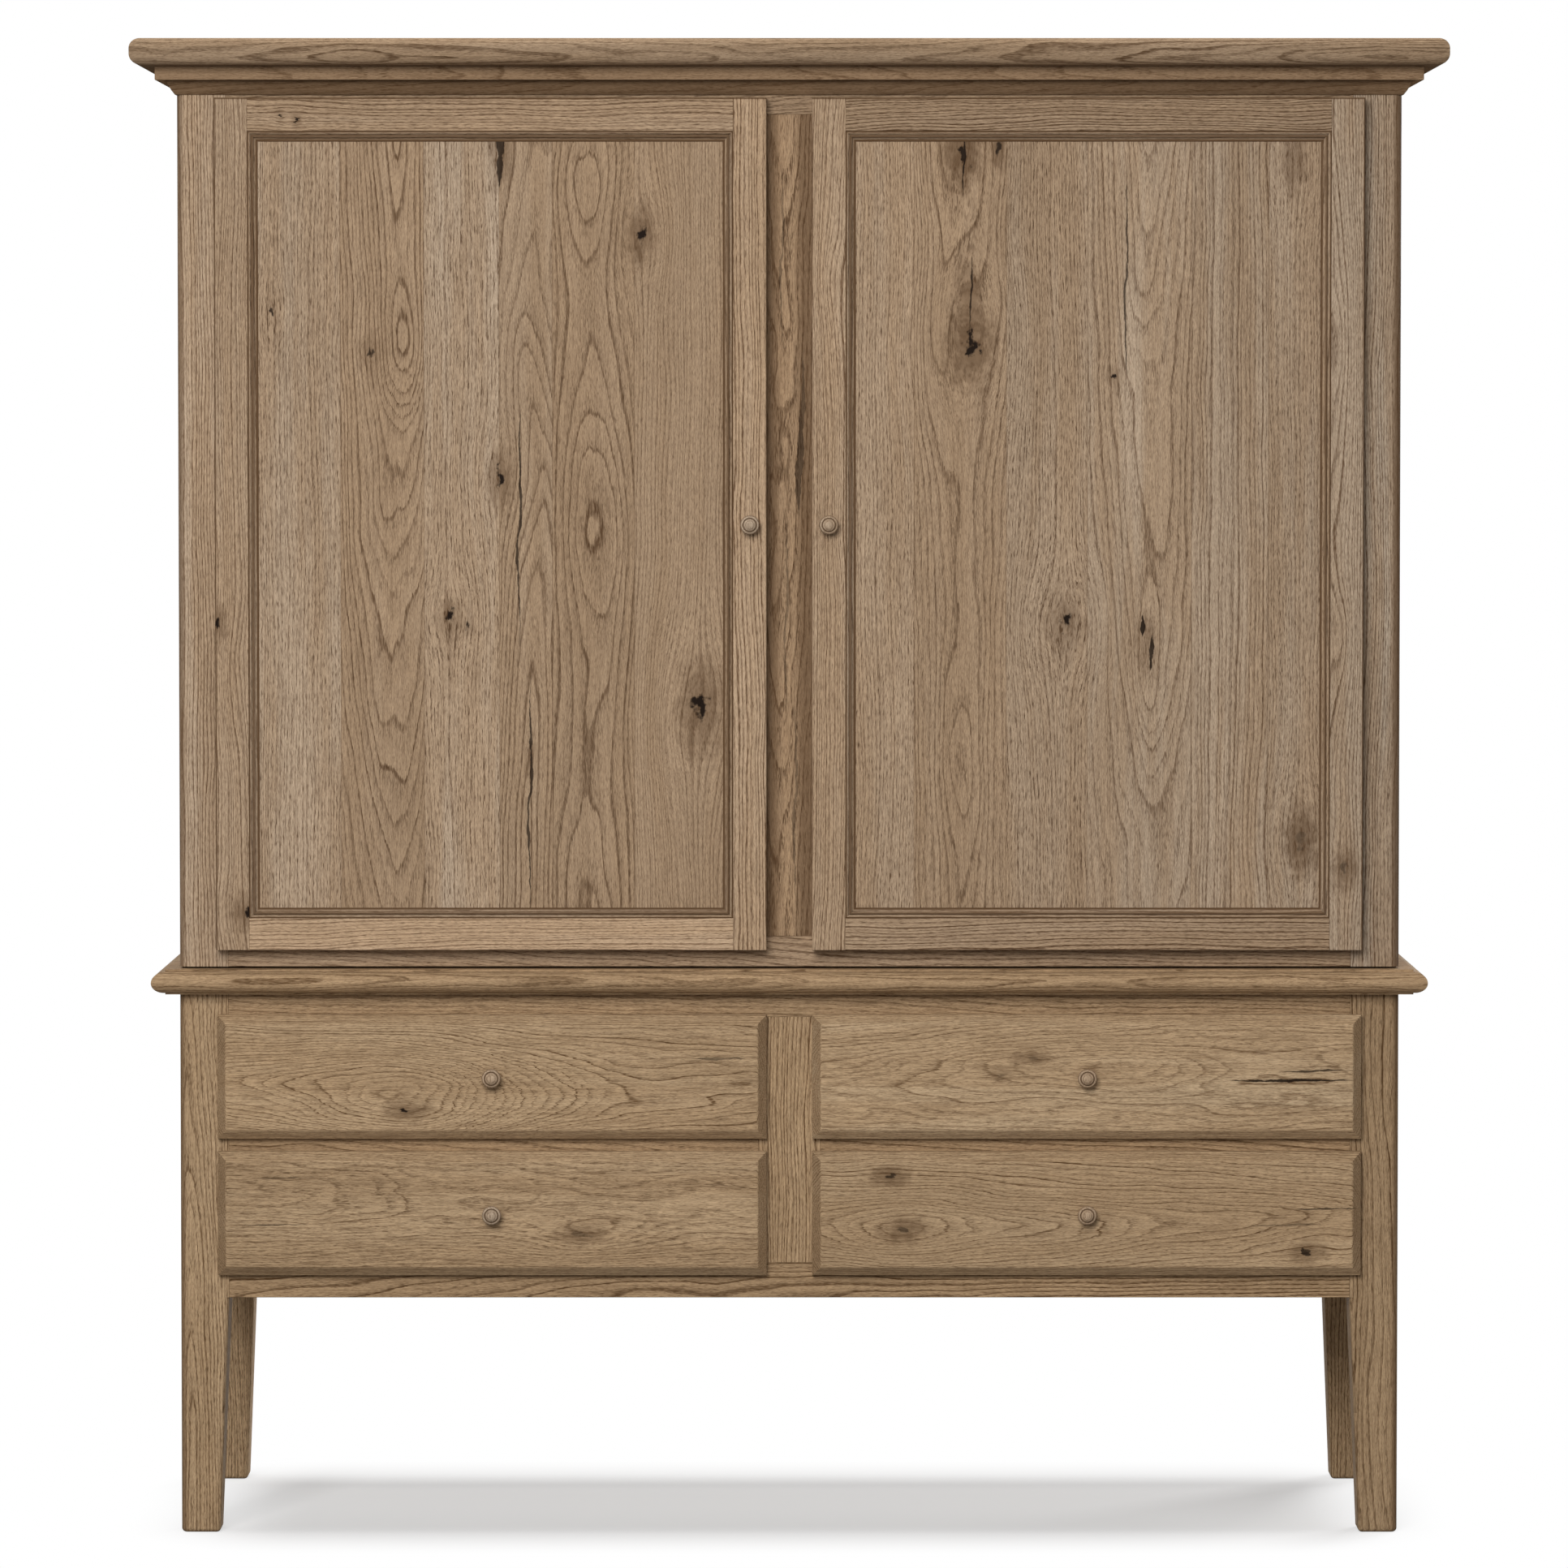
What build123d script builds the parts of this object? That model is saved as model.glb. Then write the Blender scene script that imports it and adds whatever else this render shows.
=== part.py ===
from build123d import *
import os

os.makedirs("parts", exist_ok=True)

# Oak armoire in two parts: a case with two doors, standing on a base with four drawers.
# Millimetres. The front faces -Y, +X is to the right and the floor is at z = 0.

# Overall size
total_width = 1778.0
total_depth = 585.0
total_height = 2032.0
crown_overhang = 59.0
case_half = total_width / 2 - crown_overhang
back = total_depth / 2
face = -back + crown_overhang

# Levels, from the floor up
apron_bottom = 322.0
apron_top = 370.0
middle_bottom = 516.0
middle_top = 547.0
top_rail_bottom = 706.0
waist_bottom = 738.0
waist_top = 772.0
case_bottom = 774.5
case_floor = 816.0
head_bottom = 1931.5
moulding_bottom = 1958.0
band_bottom = 1977.0
crown_bottom = 1996.0

# Legs and face frames
post = 66.0
foot = 53.0
outer_round = 9.0
inner_round = 6.5
foot_round = 5.5
post_inner = case_half - post
centre_half = 42.0
rail_thick = 26.0
rail_recess = 0.5
rail_face = face + rail_recess
rail_back = rail_face + rail_thick
rail_middle = (rail_face + rail_back) / 2
corner_stile_thick = rail_recess + rail_thick
edge_ease = 0.8
tenon_long = 28.0
stile_tenon_long = 14.0
tenon_half = 4.5
shoulder = 5.0
joint_gap = 0.1

# Panels of the two cases
panel_thick = 20.0
base_reveal = 4.0
case_reveal = 2.0
housing = 6.0
back_thick = 10.0
back_front = back - 3.0 - back_thick
divider_half = 10.0
base_side_outer = case_half - base_reveal
base_side_inner = base_side_outer - panel_thick
case_side_outer = case_half - case_reveal
case_side_inner = case_side_outer - panel_thick

# Waist board: a half-oval nose between two small steps
waist_step = 18.0
waist_nose = 36.0
waist_lower_step = 2.0
waist_upper_step = 3.0

# Crown: a board with a rounded edge over a band and a small ovolo
crown_round = 14.5
band_reach = 27.0
ovolo_top_reach = 12.5
ovolo_bottom_reach = 2.0
ovolo_swell = 1.2
mitre_gap = 0.1

# Doors
door_inner = 31.0
door_outer = 778.0
door_bottom = 799.0
door_top = 1953.0
door_gap = 3.0
door_thick = 22.0
door_back = face - door_gap
door_face = door_back - door_thick
door_edge_round = 2.0
door_stile = 45.0
door_top_rail = 45.0
door_bottom_rail = 43.0
door_groove = 7.0
door_panel_thick = 10.0
door_panel_face = door_face + 9.0
door_panel_back = door_panel_face + door_panel_thick
panel_play = 1.0
opening_inner = door_inner + door_stile
opening_outer = door_outer - door_stile
opening_bottom = door_bottom + door_bottom_rail
opening_top = door_top - door_top_rail

# Stepped bead round each door panel: distance from the frame, height over the panel
bead_wide = 14.0
first_bead_end = 3.8
first_bead_high = 8.4
quirk_end = 5.4
quirk_high = 5.2
second_bead_end = 8.4
second_bead_high = 6.4
cove_start_high = 3.6
bead_edge_high = 1.0
bead_bulge = 0.8

# Concealed hinges: a cup in the door, an arm on the corner stile
hinge_inset = 110.0
pivot_inset = 8.0
pivot_depth = 9.0
cup_radius = 15.0
cup_wall = 1.0
cup_deep = 13.6
pin_offset = 9.5
cup_inset = pivot_inset + pin_offset
pin_radius = 2.0
pin_half = 9.6
knuckle_radius = 3.2
pin_gap = 0.05
knuckle_bore = pin_radius + pin_gap
arm_thick = 1.8
arm_half = 4.0
arm_reach = 11.0
plate_half = 22.0
plate_start = pivot_depth + 5.2
plate_end = pivot_depth + 29.0
pivot_x = door_outer - pivot_inset
pivot_y = door_back - pivot_depth

# Drawers
drawer_height = 169.0
lower_drawer_bottom = 354.0
upper_drawer_bottom = 540.5
drawer_gap = 0.8
drawer_thick = 22.0
drawer_back = face - drawer_gap
drawer_face = drawer_back - drawer_thick
bevel = 12.0
bevel_soft = 5.0
box_play = 1.5
box_inner = centre_half + box_play
box_outer = post_inner - box_play
box_long = 450.0
box_high = 137.0
box_lift = 0.4
box_wall = 14.0
box_end = drawer_back + box_long
bottom_thick = 6.0
bottom_height = 10.0
bottom_entry = 6.0
bottom_play = 0.5

# Drawer runners and their side guides
runner_thick = 20.0
runner_inner_edge = 18.0
guide_high = 16.0
strip_overlap = 1.0

# Turned knobs
knob_tenon_radius = 5.0
knob_tenon_long = 12.0
knob_foot_radius = 8.5
knob_neck_radius = 6.5
knob_neck_at = 5.0
knob_rim_radius = 13.0
knob_rim_at = 13.5
knob_rim_front = 17.5
knob_ring_inner = 9.4
knob_groove_at = 16.4
button_radius = 8.8
button_start = 17.4
button_end = 21.5
neck_hollow = 1.6
rim_swell = 1.0
knob_height = (door_bottom + door_top) / 2

# Fittings inside the upper case
rail_radius = 12.5
rail_height = 1888.0
rail_y = 20.0
socket_radius = 21.0
socket_thick = 12.0
socket_deep = 7.0
socket_gap = 0.05
shelf_levels = (1190.0, 1560.0)
shelf_thick = 20.0
shelf_front = -196.0
shelf_play = 0.8
pin_positions = (-150.0, 230.0)
shelf_pin_radius = 2.5
shelf_pin_entry = 10.0
shelf_pin_gap = 0.05


def block(x_span, y_span, z_span, mode=Mode.ADD):
    centre = tuple((low + high) / 2 for low, high in (x_span, y_span, z_span))
    with Locations(centre):
        Box(*[abs(high - low) for low, high in (x_span, y_span, z_span)], mode=mode)


def save(builder, name):
    builder.part.label = name
    export_step(builder.part, f"parts/{name}.step")


def tenon(x_span, z_span):
    block(x_span, (rail_middle - tenon_half, rail_middle + tenon_half), z_span)


def mortise(x_span, z_span):
    half = tenon_half + joint_gap
    low, high = z_span
    block(x_span, (rail_middle - half, rail_middle + half), (low - joint_gap, high + joint_gap), Mode.SUBTRACT)


def ease_front(builder):
    fillet(builder.faces().sort_by(Axis.Y)[0].edges(), edge_ease)


# Legs: square posts, tapered on the two inner faces below the apron
rail_spans = (
    (apron_bottom + shoulder, apron_top - shoulder),
    (middle_bottom + shoulder, middle_top - shoulder),
    (top_rail_bottom + shoulder, waist_bottom - shoulder),
)


def leg(name, side, end):
    corner = (side * case_half, back if end > 0 else face)
    with BuildPart() as leg_part:
        for level, size in ((0, foot), (apron_bottom, post)):
            with BuildSketch(Plane.XY.offset(level)):
                with Locations((corner[0] - side * size / 2, corner[1] - end * size / 2)):
                    Rectangle(size, size)
                fillet(vertices().sort_by_distance(corner)[1:], inner_round)
                fillet(vertices().sort_by_distance(corner)[0], outer_round)
        loft(ruled=True)
        fillet(leg_part.faces().sort_by(Axis.Z)[0].edges(), foot_round)
        with BuildSketch(Plane.XY.offset(apron_bottom)):
            with Locations((corner[0] - side * post / 2, corner[1] - end * post / 2)):
                Rectangle(post, post)
            fillet(vertices().sort_by_distance(corner)[0], outer_round)
        extrude(amount=waist_bottom - apron_bottom)
        inner_y = corner[1] - end * post
        block(
            (side * (base_side_inner - joint_gap), side * (base_side_outer + joint_gap)),
            (inner_y, inner_y + end * (housing + joint_gap)),
            (apron_bottom, waist_bottom),
            Mode.SUBTRACT,
        )
        if end < 0:
            for span in rail_spans:
                mortise((side * post_inner, side * (post_inner + tenon_long + joint_gap)), span)
        else:
            block(
                (side * post_inner, side * (post_inner + housing + joint_gap)),
                (back_front - joint_gap, back_front + back_thick + joint_gap),
                (apron_bottom, waist_bottom),
                Mode.SUBTRACT,
            )
    save(leg_part, name)


leg("front_left_leg", -1, -1)
leg("front_right_leg", 1, -1)
leg("rear_left_leg", -1, 1)
leg("rear_right_leg", 1, 1)

# Face frame of the base
stile_low_tenon = (apron_top - stile_tenon_long, apron_top)
stile_high_tenon = (top_rail_bottom, top_rail_bottom + stile_tenon_long)
stile_tenon_half = centre_half - shoulder

for name, bottom, top, span, stile_span in (
    ("base_bottom_rail", apron_bottom, apron_top, rail_spans[0], stile_low_tenon),
    ("base_top_rail", top_rail_bottom, waist_bottom, rail_spans[2], stile_high_tenon),
):
    with BuildPart() as long_rail:
        block((-post_inner, post_inner), (rail_face, rail_back), (bottom, top))
        ease_front(long_rail)
        tenon((-post_inner - tenon_long, -post_inner), span)
        tenon((post_inner, post_inner + tenon_long), span)
        mortise((-stile_tenon_half - joint_gap, stile_tenon_half + joint_gap), stile_span)
    save(long_rail, name)

with BuildPart() as base_middle_rails:
    for side in (-1, 1):
        block((side * centre_half, side * post_inner), (rail_face, rail_back), (middle_bottom, middle_top))
    for front_face in base_middle_rails.faces().group_by(Axis.Y)[0]:
        fillet(front_face.edges(), edge_ease)
    for side in (-1, 1):
        tenon((side * (centre_half - tenon_long), side * centre_half), rail_spans[1])
        tenon((side * post_inner, side * (post_inner + tenon_long)), rail_spans[1])
save(base_middle_rails, "base_middle_rails")

with BuildPart() as base_centre_stile:
    block((-centre_half, centre_half), (rail_face, rail_back), (apron_top, top_rail_bottom))
    ease_front(base_centre_stile)
    tenon((-stile_tenon_half, stile_tenon_half), stile_low_tenon)
    tenon((-stile_tenon_half, stile_tenon_half), stile_high_tenon)
    for side in (-1, 1):
        mortise((side * (centre_half - tenon_long - joint_gap), side * centre_half), rail_spans[1])
save(base_centre_stile, "base_centre_stile")

# Panels of the base
with BuildPart() as base_side_panels:
    for side in (-1, 1):
        block(
            (side * base_side_inner, side * base_side_outer),
            (face + post - housing, back - post + housing),
            (apron_bottom, waist_bottom),
        )
save(base_side_panels, "base_side_panels")

with BuildPart() as base_back_panel:
    back_half = post_inner + housing
    block((-back_half, back_half), (back_front, back_front + back_thick), (apron_bottom, waist_bottom))
save(base_back_panel, "base_back_panel")

with BuildPart() as drawer_divider:
    block((-divider_half, divider_half), (rail_back, back_front), (apron_bottom, waist_bottom))
save(drawer_divider, "drawer_divider")

# Runners: a strip under each drawer side, level with the rail, and a guide beside it
with BuildPart() as drawer_runners:
    for side in (-1, 1):
        for level in (apron_top, middle_top):
            strip = (level - runner_thick, level)
            guide = (level, level + guide_high)
            between_posts = (face + post, back - post)
            outer_edge = post_inner - joint_gap
            block((side * (box_outer - runner_inner_edge), side * outer_edge), (rail_back, back_front), strip)
            block((side * (outer_edge - strip_overlap), side * base_side_inner), between_posts, strip)
            block((side * post_inner, side * base_side_inner), between_posts, guide)
            block((side * divider_half, side * (box_inner + runner_inner_edge)), (rail_back, back_front), strip)
            block((side * divider_half, side * centre_half), (rail_back, back_front), guide)
save(drawer_runners, "drawer_runners")


# Moulded boards: the front profile, run across, cut by the same profile run along both sides
def waist_profile(front, rear):
    lower = waist_bottom + waist_lower_step
    upper = waist_top - waist_upper_step
    way = 1 if front > rear else -1
    Polyline((rear, waist_top), (rear, waist_bottom), (front + way * waist_step, waist_bottom))
    Line((front + way * waist_step, waist_bottom), (front + way * waist_step, lower))
    EllipticalCenterArc(
        (front + way * waist_step, (lower + upper) / 2),
        waist_nose - waist_step,
        (upper - lower) / 2,
        -90,
        arc_size=way * 180,
    )
    Polyline((front + way * waist_step, upper), (front + way * waist_step, waist_top), (rear, waist_top))


with BuildPart() as waist_board:
    with BuildSketch(Plane.YZ):
        with BuildLine():
            waist_profile(face, back)
        make_face()
    extrude(amount=total_width / 2, both=True)
    with BuildSketch(Plane.XZ):
        with BuildLine():
            waist_profile(case_half, 0)
        make_face()
        mirror(about=Plane.YZ)
    extrude(amount=total_depth, both=True, mode=Mode.INTERSECT)
save(waist_board, "waist_board")

with BuildPart() as crown_board:
    crown_middle = (crown_bottom + total_height) / 2
    crown_thick = total_height - crown_bottom
    with BuildSketch(Plane.YZ):
        with Locations((0, crown_middle)):
            Rectangle(total_depth, crown_thick)
        fillet(vertices().group_by(Axis.X)[0], crown_round)
    extrude(amount=total_width / 2, both=True)
    with BuildSketch(Plane.XZ):
        with Locations((0, crown_middle)):
            Rectangle(total_width, crown_thick)
        fillet(vertices(), crown_round)
    extrude(amount=total_depth, both=True, mode=Mode.INTERSECT)
save(crown_board, "crown_board")


# Mitred lengths: a profile run both ways from a plane, then cut at 45 degrees.
# lean is 1 where the length gets shorter away from the wall, -1 where it gets longer.
def mitre(plane, way, half_length, lean):
    end = plane.origin + plane.z_dir * way * (half_length - mitre_gap)
    return Plane(end, z_dir=plane.z_dir * way + plane.x_dir * lean)


def crown_profile():
    wall_top = (0, crown_bottom)
    Polyline((ovolo_bottom_reach, moulding_bottom), (0, moulding_bottom), wall_top, (band_reach, crown_bottom))
    Polyline((band_reach, crown_bottom), (band_reach, band_bottom), (ovolo_top_reach, band_bottom))
    SagittaArc((ovolo_top_reach, band_bottom), (ovolo_bottom_reach, moulding_bottom), ovolo_swell)


with BuildPart() as crown_front:
    front_plane = Plane(origin=(0, face, 0), x_dir=(0, -1, 0), z_dir=(-1, 0, 0))
    with BuildSketch(front_plane):
        with BuildLine():
            crown_profile()
        make_face()
    extrude(amount=case_half + band_reach, both=True)
    for way in (-1, 1):
        split(bisect_by=mitre(front_plane, way, case_half, -1), keep=Keep.BOTTOM)

with BuildPart() as crown_side:
    side_plane = Plane(origin=(case_half, 0, 0), x_dir=(1, 0, 0), z_dir=(0, -1, 0))
    with BuildSketch(side_plane):
        with BuildLine():
            crown_profile()
        make_face()
    extrude(amount=-face + band_reach)
    extrude(crown_side.faces().sort_by(Axis.Y)[-1], amount=back)
    split(bisect_by=mitre(side_plane, 1, -face, -1), keep=Keep.BOTTOM)

with BuildPart() as crown_mouldings:
    add(crown_front.part)
    add(crown_side.part)
    mirror(crown_side.part, about=Plane.YZ)
save(crown_mouldings, "crown_mouldings")

# Face frame of the upper case
bottom_span = (case_bottom + shoulder, case_floor - shoulder)
head_span = (head_bottom + shoulder, crown_bottom - shoulder)
low_stile_tenon = (case_floor - stile_tenon_long, case_floor)
high_stile_tenon = (head_bottom, head_bottom + stile_tenon_long)

with BuildPart() as corner_stiles:
    for side in (-1, 1):
        block(
            (side * post_inner, side * case_half),
            (face, face + corner_stile_thick),
            (case_bottom, crown_bottom),
        )
    front_edges = corner_stiles.edges().filter_by(Axis.Z).group_by(Axis.Y)[0].sort_by(Axis.X)
    fillet((front_edges[0], front_edges[-1]), outer_round)
    for side in (-1, 1):
        for span in (bottom_span, head_span):
            mortise((side * post_inner, side * (post_inner + tenon_long + joint_gap)), span)
save(corner_stiles, "corner_stiles")

for name, bottom, top, span, stile_span in (
    ("upper_bottom_rail", case_bottom, case_floor, bottom_span, low_stile_tenon),
    ("upper_top_rail", head_bottom, crown_bottom, head_span, high_stile_tenon),
):
    with BuildPart() as case_rail:
        block((-post_inner, post_inner), (rail_face, rail_back), (bottom, top))
        ease_front(case_rail)
        tenon((-post_inner - tenon_long, -post_inner), span)
        tenon((post_inner, post_inner + tenon_long), span)
        mortise((-stile_tenon_half - joint_gap, stile_tenon_half + joint_gap), stile_span)
    save(case_rail, name)

with BuildPart() as centre_stile:
    block((-centre_half, centre_half), (rail_face, rail_back), (case_floor, head_bottom))
    ease_front(centre_stile)
    tenon((-stile_tenon_half, stile_tenon_half), low_stile_tenon)
    tenon((-stile_tenon_half, stile_tenon_half), high_stile_tenon)
save(centre_stile, "centre_stile")

# Panels of the upper case; the right side and the partition are bored for the shelf pins
shelf_pin_heights = [level - shelf_pin_radius for level in shelf_levels]
pin_bore_radius = shelf_pin_radius + shelf_pin_gap
pin_long = 2 * shelf_pin_entry

with BuildPart() as upper_side_panels:
    for side in (-1, 1):
        block(
            (side * case_side_inner, side * case_side_outer),
            (face + corner_stile_thick, back),
            (waist_top, crown_bottom),
        )
    for height in shelf_pin_heights:
        for place in pin_positions:
            with Locations(Location((case_side_inner, place, height), (0, 90, 0))):
                Cylinder(pin_bore_radius, pin_long, mode=Mode.SUBTRACT)
save(upper_side_panels, "upper_side_panels")

with BuildPart() as upper_back_panel:
    block((-case_side_inner, case_side_inner), (back_front, back_front + back_thick), (waist_top, crown_bottom))
save(upper_back_panel, "upper_back_panel")

with BuildPart() as upper_floor:
    block((-case_side_inner, case_side_inner), (rail_back, back_front), (case_floor - panel_thick, case_floor))
save(upper_floor, "upper_floor")

with BuildPart() as centre_partition:
    block((-divider_half, divider_half), (rail_back, back_front), (case_floor, crown_bottom))
    for height in shelf_pin_heights:
        for place in pin_positions:
            with Locations(Location((divider_half, place, height), (0, 90, 0))):
                Cylinder(pin_bore_radius, pin_long, mode=Mode.SUBTRACT)
save(centre_partition, "centre_partition")

# Shelves on pins in the right bay
with BuildPart() as shelves:
    for level in shelf_levels:
        block(
            (divider_half + shelf_play, case_side_inner - shelf_play),
            (shelf_front, back_front - shelf_play),
            (level, level + shelf_thick),
        )
    for shelf_front_face in shelves.faces().group_by(Axis.Y)[0]:
        fillet(shelf_front_face.edges().filter_by(Axis.X), door_edge_round)
save(shelves, "shelves")

with BuildPart() as shelf_pins:
    for height in shelf_pin_heights:
        for place in pin_positions:
            for wall in (divider_half, case_side_inner):
                with Locations(Location((wall, place, height), (0, 90, 0))):
                    Cylinder(shelf_pin_radius, pin_long)
save(shelf_pins, "shelf_pins")

# Hanging rail in two sockets in the left bay
rail_walls = ((-case_side_inner, 1), (-divider_half, -1))
socket_floor = socket_thick - socket_deep + joint_gap

with BuildPart() as rail_sockets:
    for wall, way in rail_walls:
        socket_middle = wall + way * socket_thick / 2
        recess_middle = wall + way * (socket_thick - socket_deep / 2)
        with Locations(Location((socket_middle, rail_y, rail_height), (0, 90, 0))):
            Cylinder(socket_radius, socket_thick)
        with Locations(Location((recess_middle, rail_y, rail_height), (0, 90, 0))):
            Cylinder(rail_radius + socket_gap, socket_deep, mode=Mode.SUBTRACT)
    for wall, way in rail_walls:
        rim = rail_sockets.edges().filter_by(GeomType.CIRCLE).sort_by_distance(
            (wall + way * socket_thick, rail_y + socket_radius, rail_height)
        )[0]
        fillet(rim, edge_ease)
save(rail_sockets, "rail_sockets")

with BuildPart() as hanging_rail:
    rail_long = case_side_inner - divider_half - 2 * socket_floor
    with Locations(Location((-(case_side_inner + divider_half) / 2, rail_y, rail_height), (0, 90, 0))):
        Cylinder(rail_radius, rail_long)
save(hanging_rail, "hanging_rail")

# Hinges: three to a door, in line on one upright axis
hinge_heights = (door_bottom + hinge_inset, knob_height, door_top - hinge_inset)
arm_centre = arm_reach + arm_thick / 2
plate_outer = post_inner

with BuildPart() as hinge_arms:
    for height in hinge_heights:
        with BuildSketch(Plane.XY.offset(height)):
            with Locations((pivot_x, pivot_y)):
                Circle(knuckle_radius)
            with Locations((pivot_x - (arm_reach + arm_thick) / 2, pivot_y)):
                Rectangle(arm_reach + arm_thick, arm_thick)
            with Locations((pivot_x - arm_centre, pivot_y + (plate_start + arm_thick) / 2)):
                Rectangle(arm_thick, plate_start + arm_thick)
            bridge_left = pivot_x - arm_reach - arm_thick
            with Locations(((bridge_left + plate_outer) / 2, pivot_y + plate_start + arm_thick / 2)):
                Rectangle(plate_outer - bridge_left, arm_thick)
            with Locations((pivot_x, pivot_y)):
                Circle(knuckle_bore, mode=Mode.SUBTRACT)
        extrude(amount=arm_half, both=True)
        block(
            (plate_outer - arm_thick, plate_outer),
            (pivot_y + plate_start, pivot_y + plate_end),
            (height - plate_half, height + plate_half),
        )
    mirror(about=Plane.YZ)
save(hinge_arms, "hinge_arms")


def bead_profile():
    Polyline((second_bead_end, cove_start_high), (second_bead_end, second_bead_high))
    SagittaArc((second_bead_end, second_bead_high), (quirk_end, second_bead_high), -bead_bulge)
    Polyline((quirk_end, second_bead_high), (quirk_end, quirk_high), (first_bead_end, quirk_high))
    Line((first_bead_end, quirk_high), (first_bead_end, first_bead_high - bead_bulge))
    SagittaArc((first_bead_end, first_bead_high - bead_bulge), (0, first_bead_high - bead_bulge), -bead_bulge)
    Polyline((0, first_bead_high - bead_bulge), (0, 0), (bead_wide, 0), (bead_wide, bead_edge_high))
    SagittaArc((bead_wide, bead_edge_high), (second_bead_end, cove_start_high), bead_bulge)


def bead_length(origin, inward, along, half_length):
    plane = Plane(origin=origin, x_dir=inward, z_dir=along)
    with BuildPart() as length:
        with BuildSketch(plane):
            with BuildLine():
                bead_profile()
            make_face()
        extrude(amount=half_length, both=True)
        for way in (-1, 1):
            split(bisect_by=mitre(plane, way, half_length, 1), keep=Keep.BOTTOM)
    return length.part


# Turned knob with a ring round a domed button, on a tenon; the axis points to -Y
def knob(name, x, surface, z):
    with BuildPart() as knob_part:
        with BuildSketch(Plane(origin=(x, surface, z), x_dir=(1, 0, 0), z_dir=(0, 0, -1))):
            with BuildLine():
                Polyline(
                    (0, button_end),
                    (0, -knob_tenon_long),
                    (knob_tenon_radius, -knob_tenon_long),
                    (knob_tenon_radius, 0),
                    (knob_foot_radius, 0),
                    (knob_neck_radius, knob_neck_at),
                )
                SagittaArc((knob_neck_radius, knob_neck_at), (knob_rim_radius, knob_rim_at), neck_hollow)
                rim_inner = (knob_ring_inner, knob_rim_front)
                SagittaArc((knob_rim_radius, knob_rim_at), rim_inner, -rim_swell)
                Polyline(rim_inner, (knob_ring_inner, knob_groove_at), (button_radius, knob_groove_at))
                Line((button_radius, knob_groove_at), (button_radius, button_start))
                TangentArc((0, button_end), (button_radius, button_start), tangent=(1, 0))
            make_face()
        revolve(axis=Axis((x, surface, z), (0, 1, 0)))
    save(knob_part, name)


def knob_hole(x, surface, z):
    middle = surface + (knob_tenon_long + joint_gap) / 2
    with Locations(Location((x, middle, z), (90, 0, 0))):
        Cylinder(knob_tenon_radius + joint_gap, knob_tenon_long + joint_gap, mode=Mode.SUBTRACT)


# Doors: grooved stiles and rails round a flat panel, with a stepped bead
groove_span = (door_panel_face - joint_gap, door_panel_back + joint_gap)


def door(name, side):
    knob_x = side * (door_inner + door_stile / 2)
    cup_x = side * (door_outer - cup_inset)

    with BuildPart() as stiles:
        for low, high in ((door_inner, opening_inner), (opening_outer, door_outer)):
            block((side * low, side * high), (door_face, door_back), (door_bottom, door_top))
        upright = stiles.edges().filter_by(Axis.Z).sort_by(Axis.X)
        fillet(upright[0:2] + upright[-2:], door_edge_round)
        for edge, inward in ((opening_inner, -1), (opening_outer, 1)):
            block(
                (side * edge, side * (edge + inward * door_groove)),
                groove_span,
                (door_bottom, door_top),
                Mode.SUBTRACT,
            )
        knob_hole(knob_x, door_face, knob_height)
        for height in hinge_heights:
            with Locations(Location((cup_x, door_back - cup_deep / 2, height), (90, 0, 0))):
                Cylinder(cup_radius + joint_gap, cup_deep + joint_gap, mode=Mode.SUBTRACT)
    save(stiles, f"{name}_stiles")

    with BuildPart() as rails:
        for low, high in ((door_bottom, opening_bottom), (opening_top, door_top)):
            block((side * opening_inner, side * opening_outer), (door_face, door_back), (low, high))
        for front_face in rails.faces().group_by(Axis.Y)[0]:
            fillet(front_face.edges(), edge_ease)
        for edge, away in ((opening_bottom, -1), (opening_top, 1)):
            block(
                (side * opening_inner, side * opening_outer),
                groove_span,
                (edge, edge + away * door_groove),
                Mode.SUBTRACT,
            )
        for low, high in (
            (door_bottom, opening_bottom - door_groove),
            (opening_top + door_groove, door_top),
        ):
            for edge, way in ((opening_inner, -1), (opening_outer, 1)):
                block(
                    (side * edge, side * (edge + way * (door_groove - panel_play))),
                    (door_panel_face, door_panel_back),
                    (low, high),
                )
    save(rails, f"{name}_rails")

    entry = door_groove - panel_play
    with BuildPart() as panel:
        block(
            (side * (opening_inner - entry), side * (opening_outer + entry)),
            (door_panel_face, door_panel_back),
            (opening_bottom - entry, opening_top + entry),
        )
    save(panel, f"{name}_panel")

    middle_x = side * (opening_inner + opening_outer) / 2
    middle_z = (opening_bottom + opening_top) / 2
    half_wide = (opening_outer - opening_inner) / 2
    half_high = (opening_top - opening_bottom) / 2
    with BuildPart() as bead:
        for way in (-1, 1):
            end_origin = (middle_x, door_panel_face, middle_z + way * half_high)
            add(bead_length(end_origin, (0, 0, -way), (-way, 0, 0), half_wide))
            edge_origin = (middle_x + way * half_wide, door_panel_face, middle_z)
            add(bead_length(edge_origin, (-way, 0, 0), (0, 0, way), half_high))
    save(bead, f"{name}_bead")

    with BuildPart() as cups:
        for height in hinge_heights:
            with Locations(Location((cup_x, door_back - cup_deep / 2, height), (90, 0, 0))):
                Cylinder(cup_radius, cup_deep)
            with Locations(Location((cup_x, door_back - (cup_deep - cup_wall) / 2, height), (90, 0, 0))):
                Cylinder(cup_radius - cup_wall, cup_deep - cup_wall, mode=Mode.SUBTRACT)
            with Locations((side * pivot_x, pivot_y, height)):
                Cylinder(pin_radius, 2 * pin_half)
    save(cups, f"{name}_hinge_cups")

    knob(f"{name}_knob", knob_x, door_face, knob_height)


door("left_door", -1)
door("right_door", 1)


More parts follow.
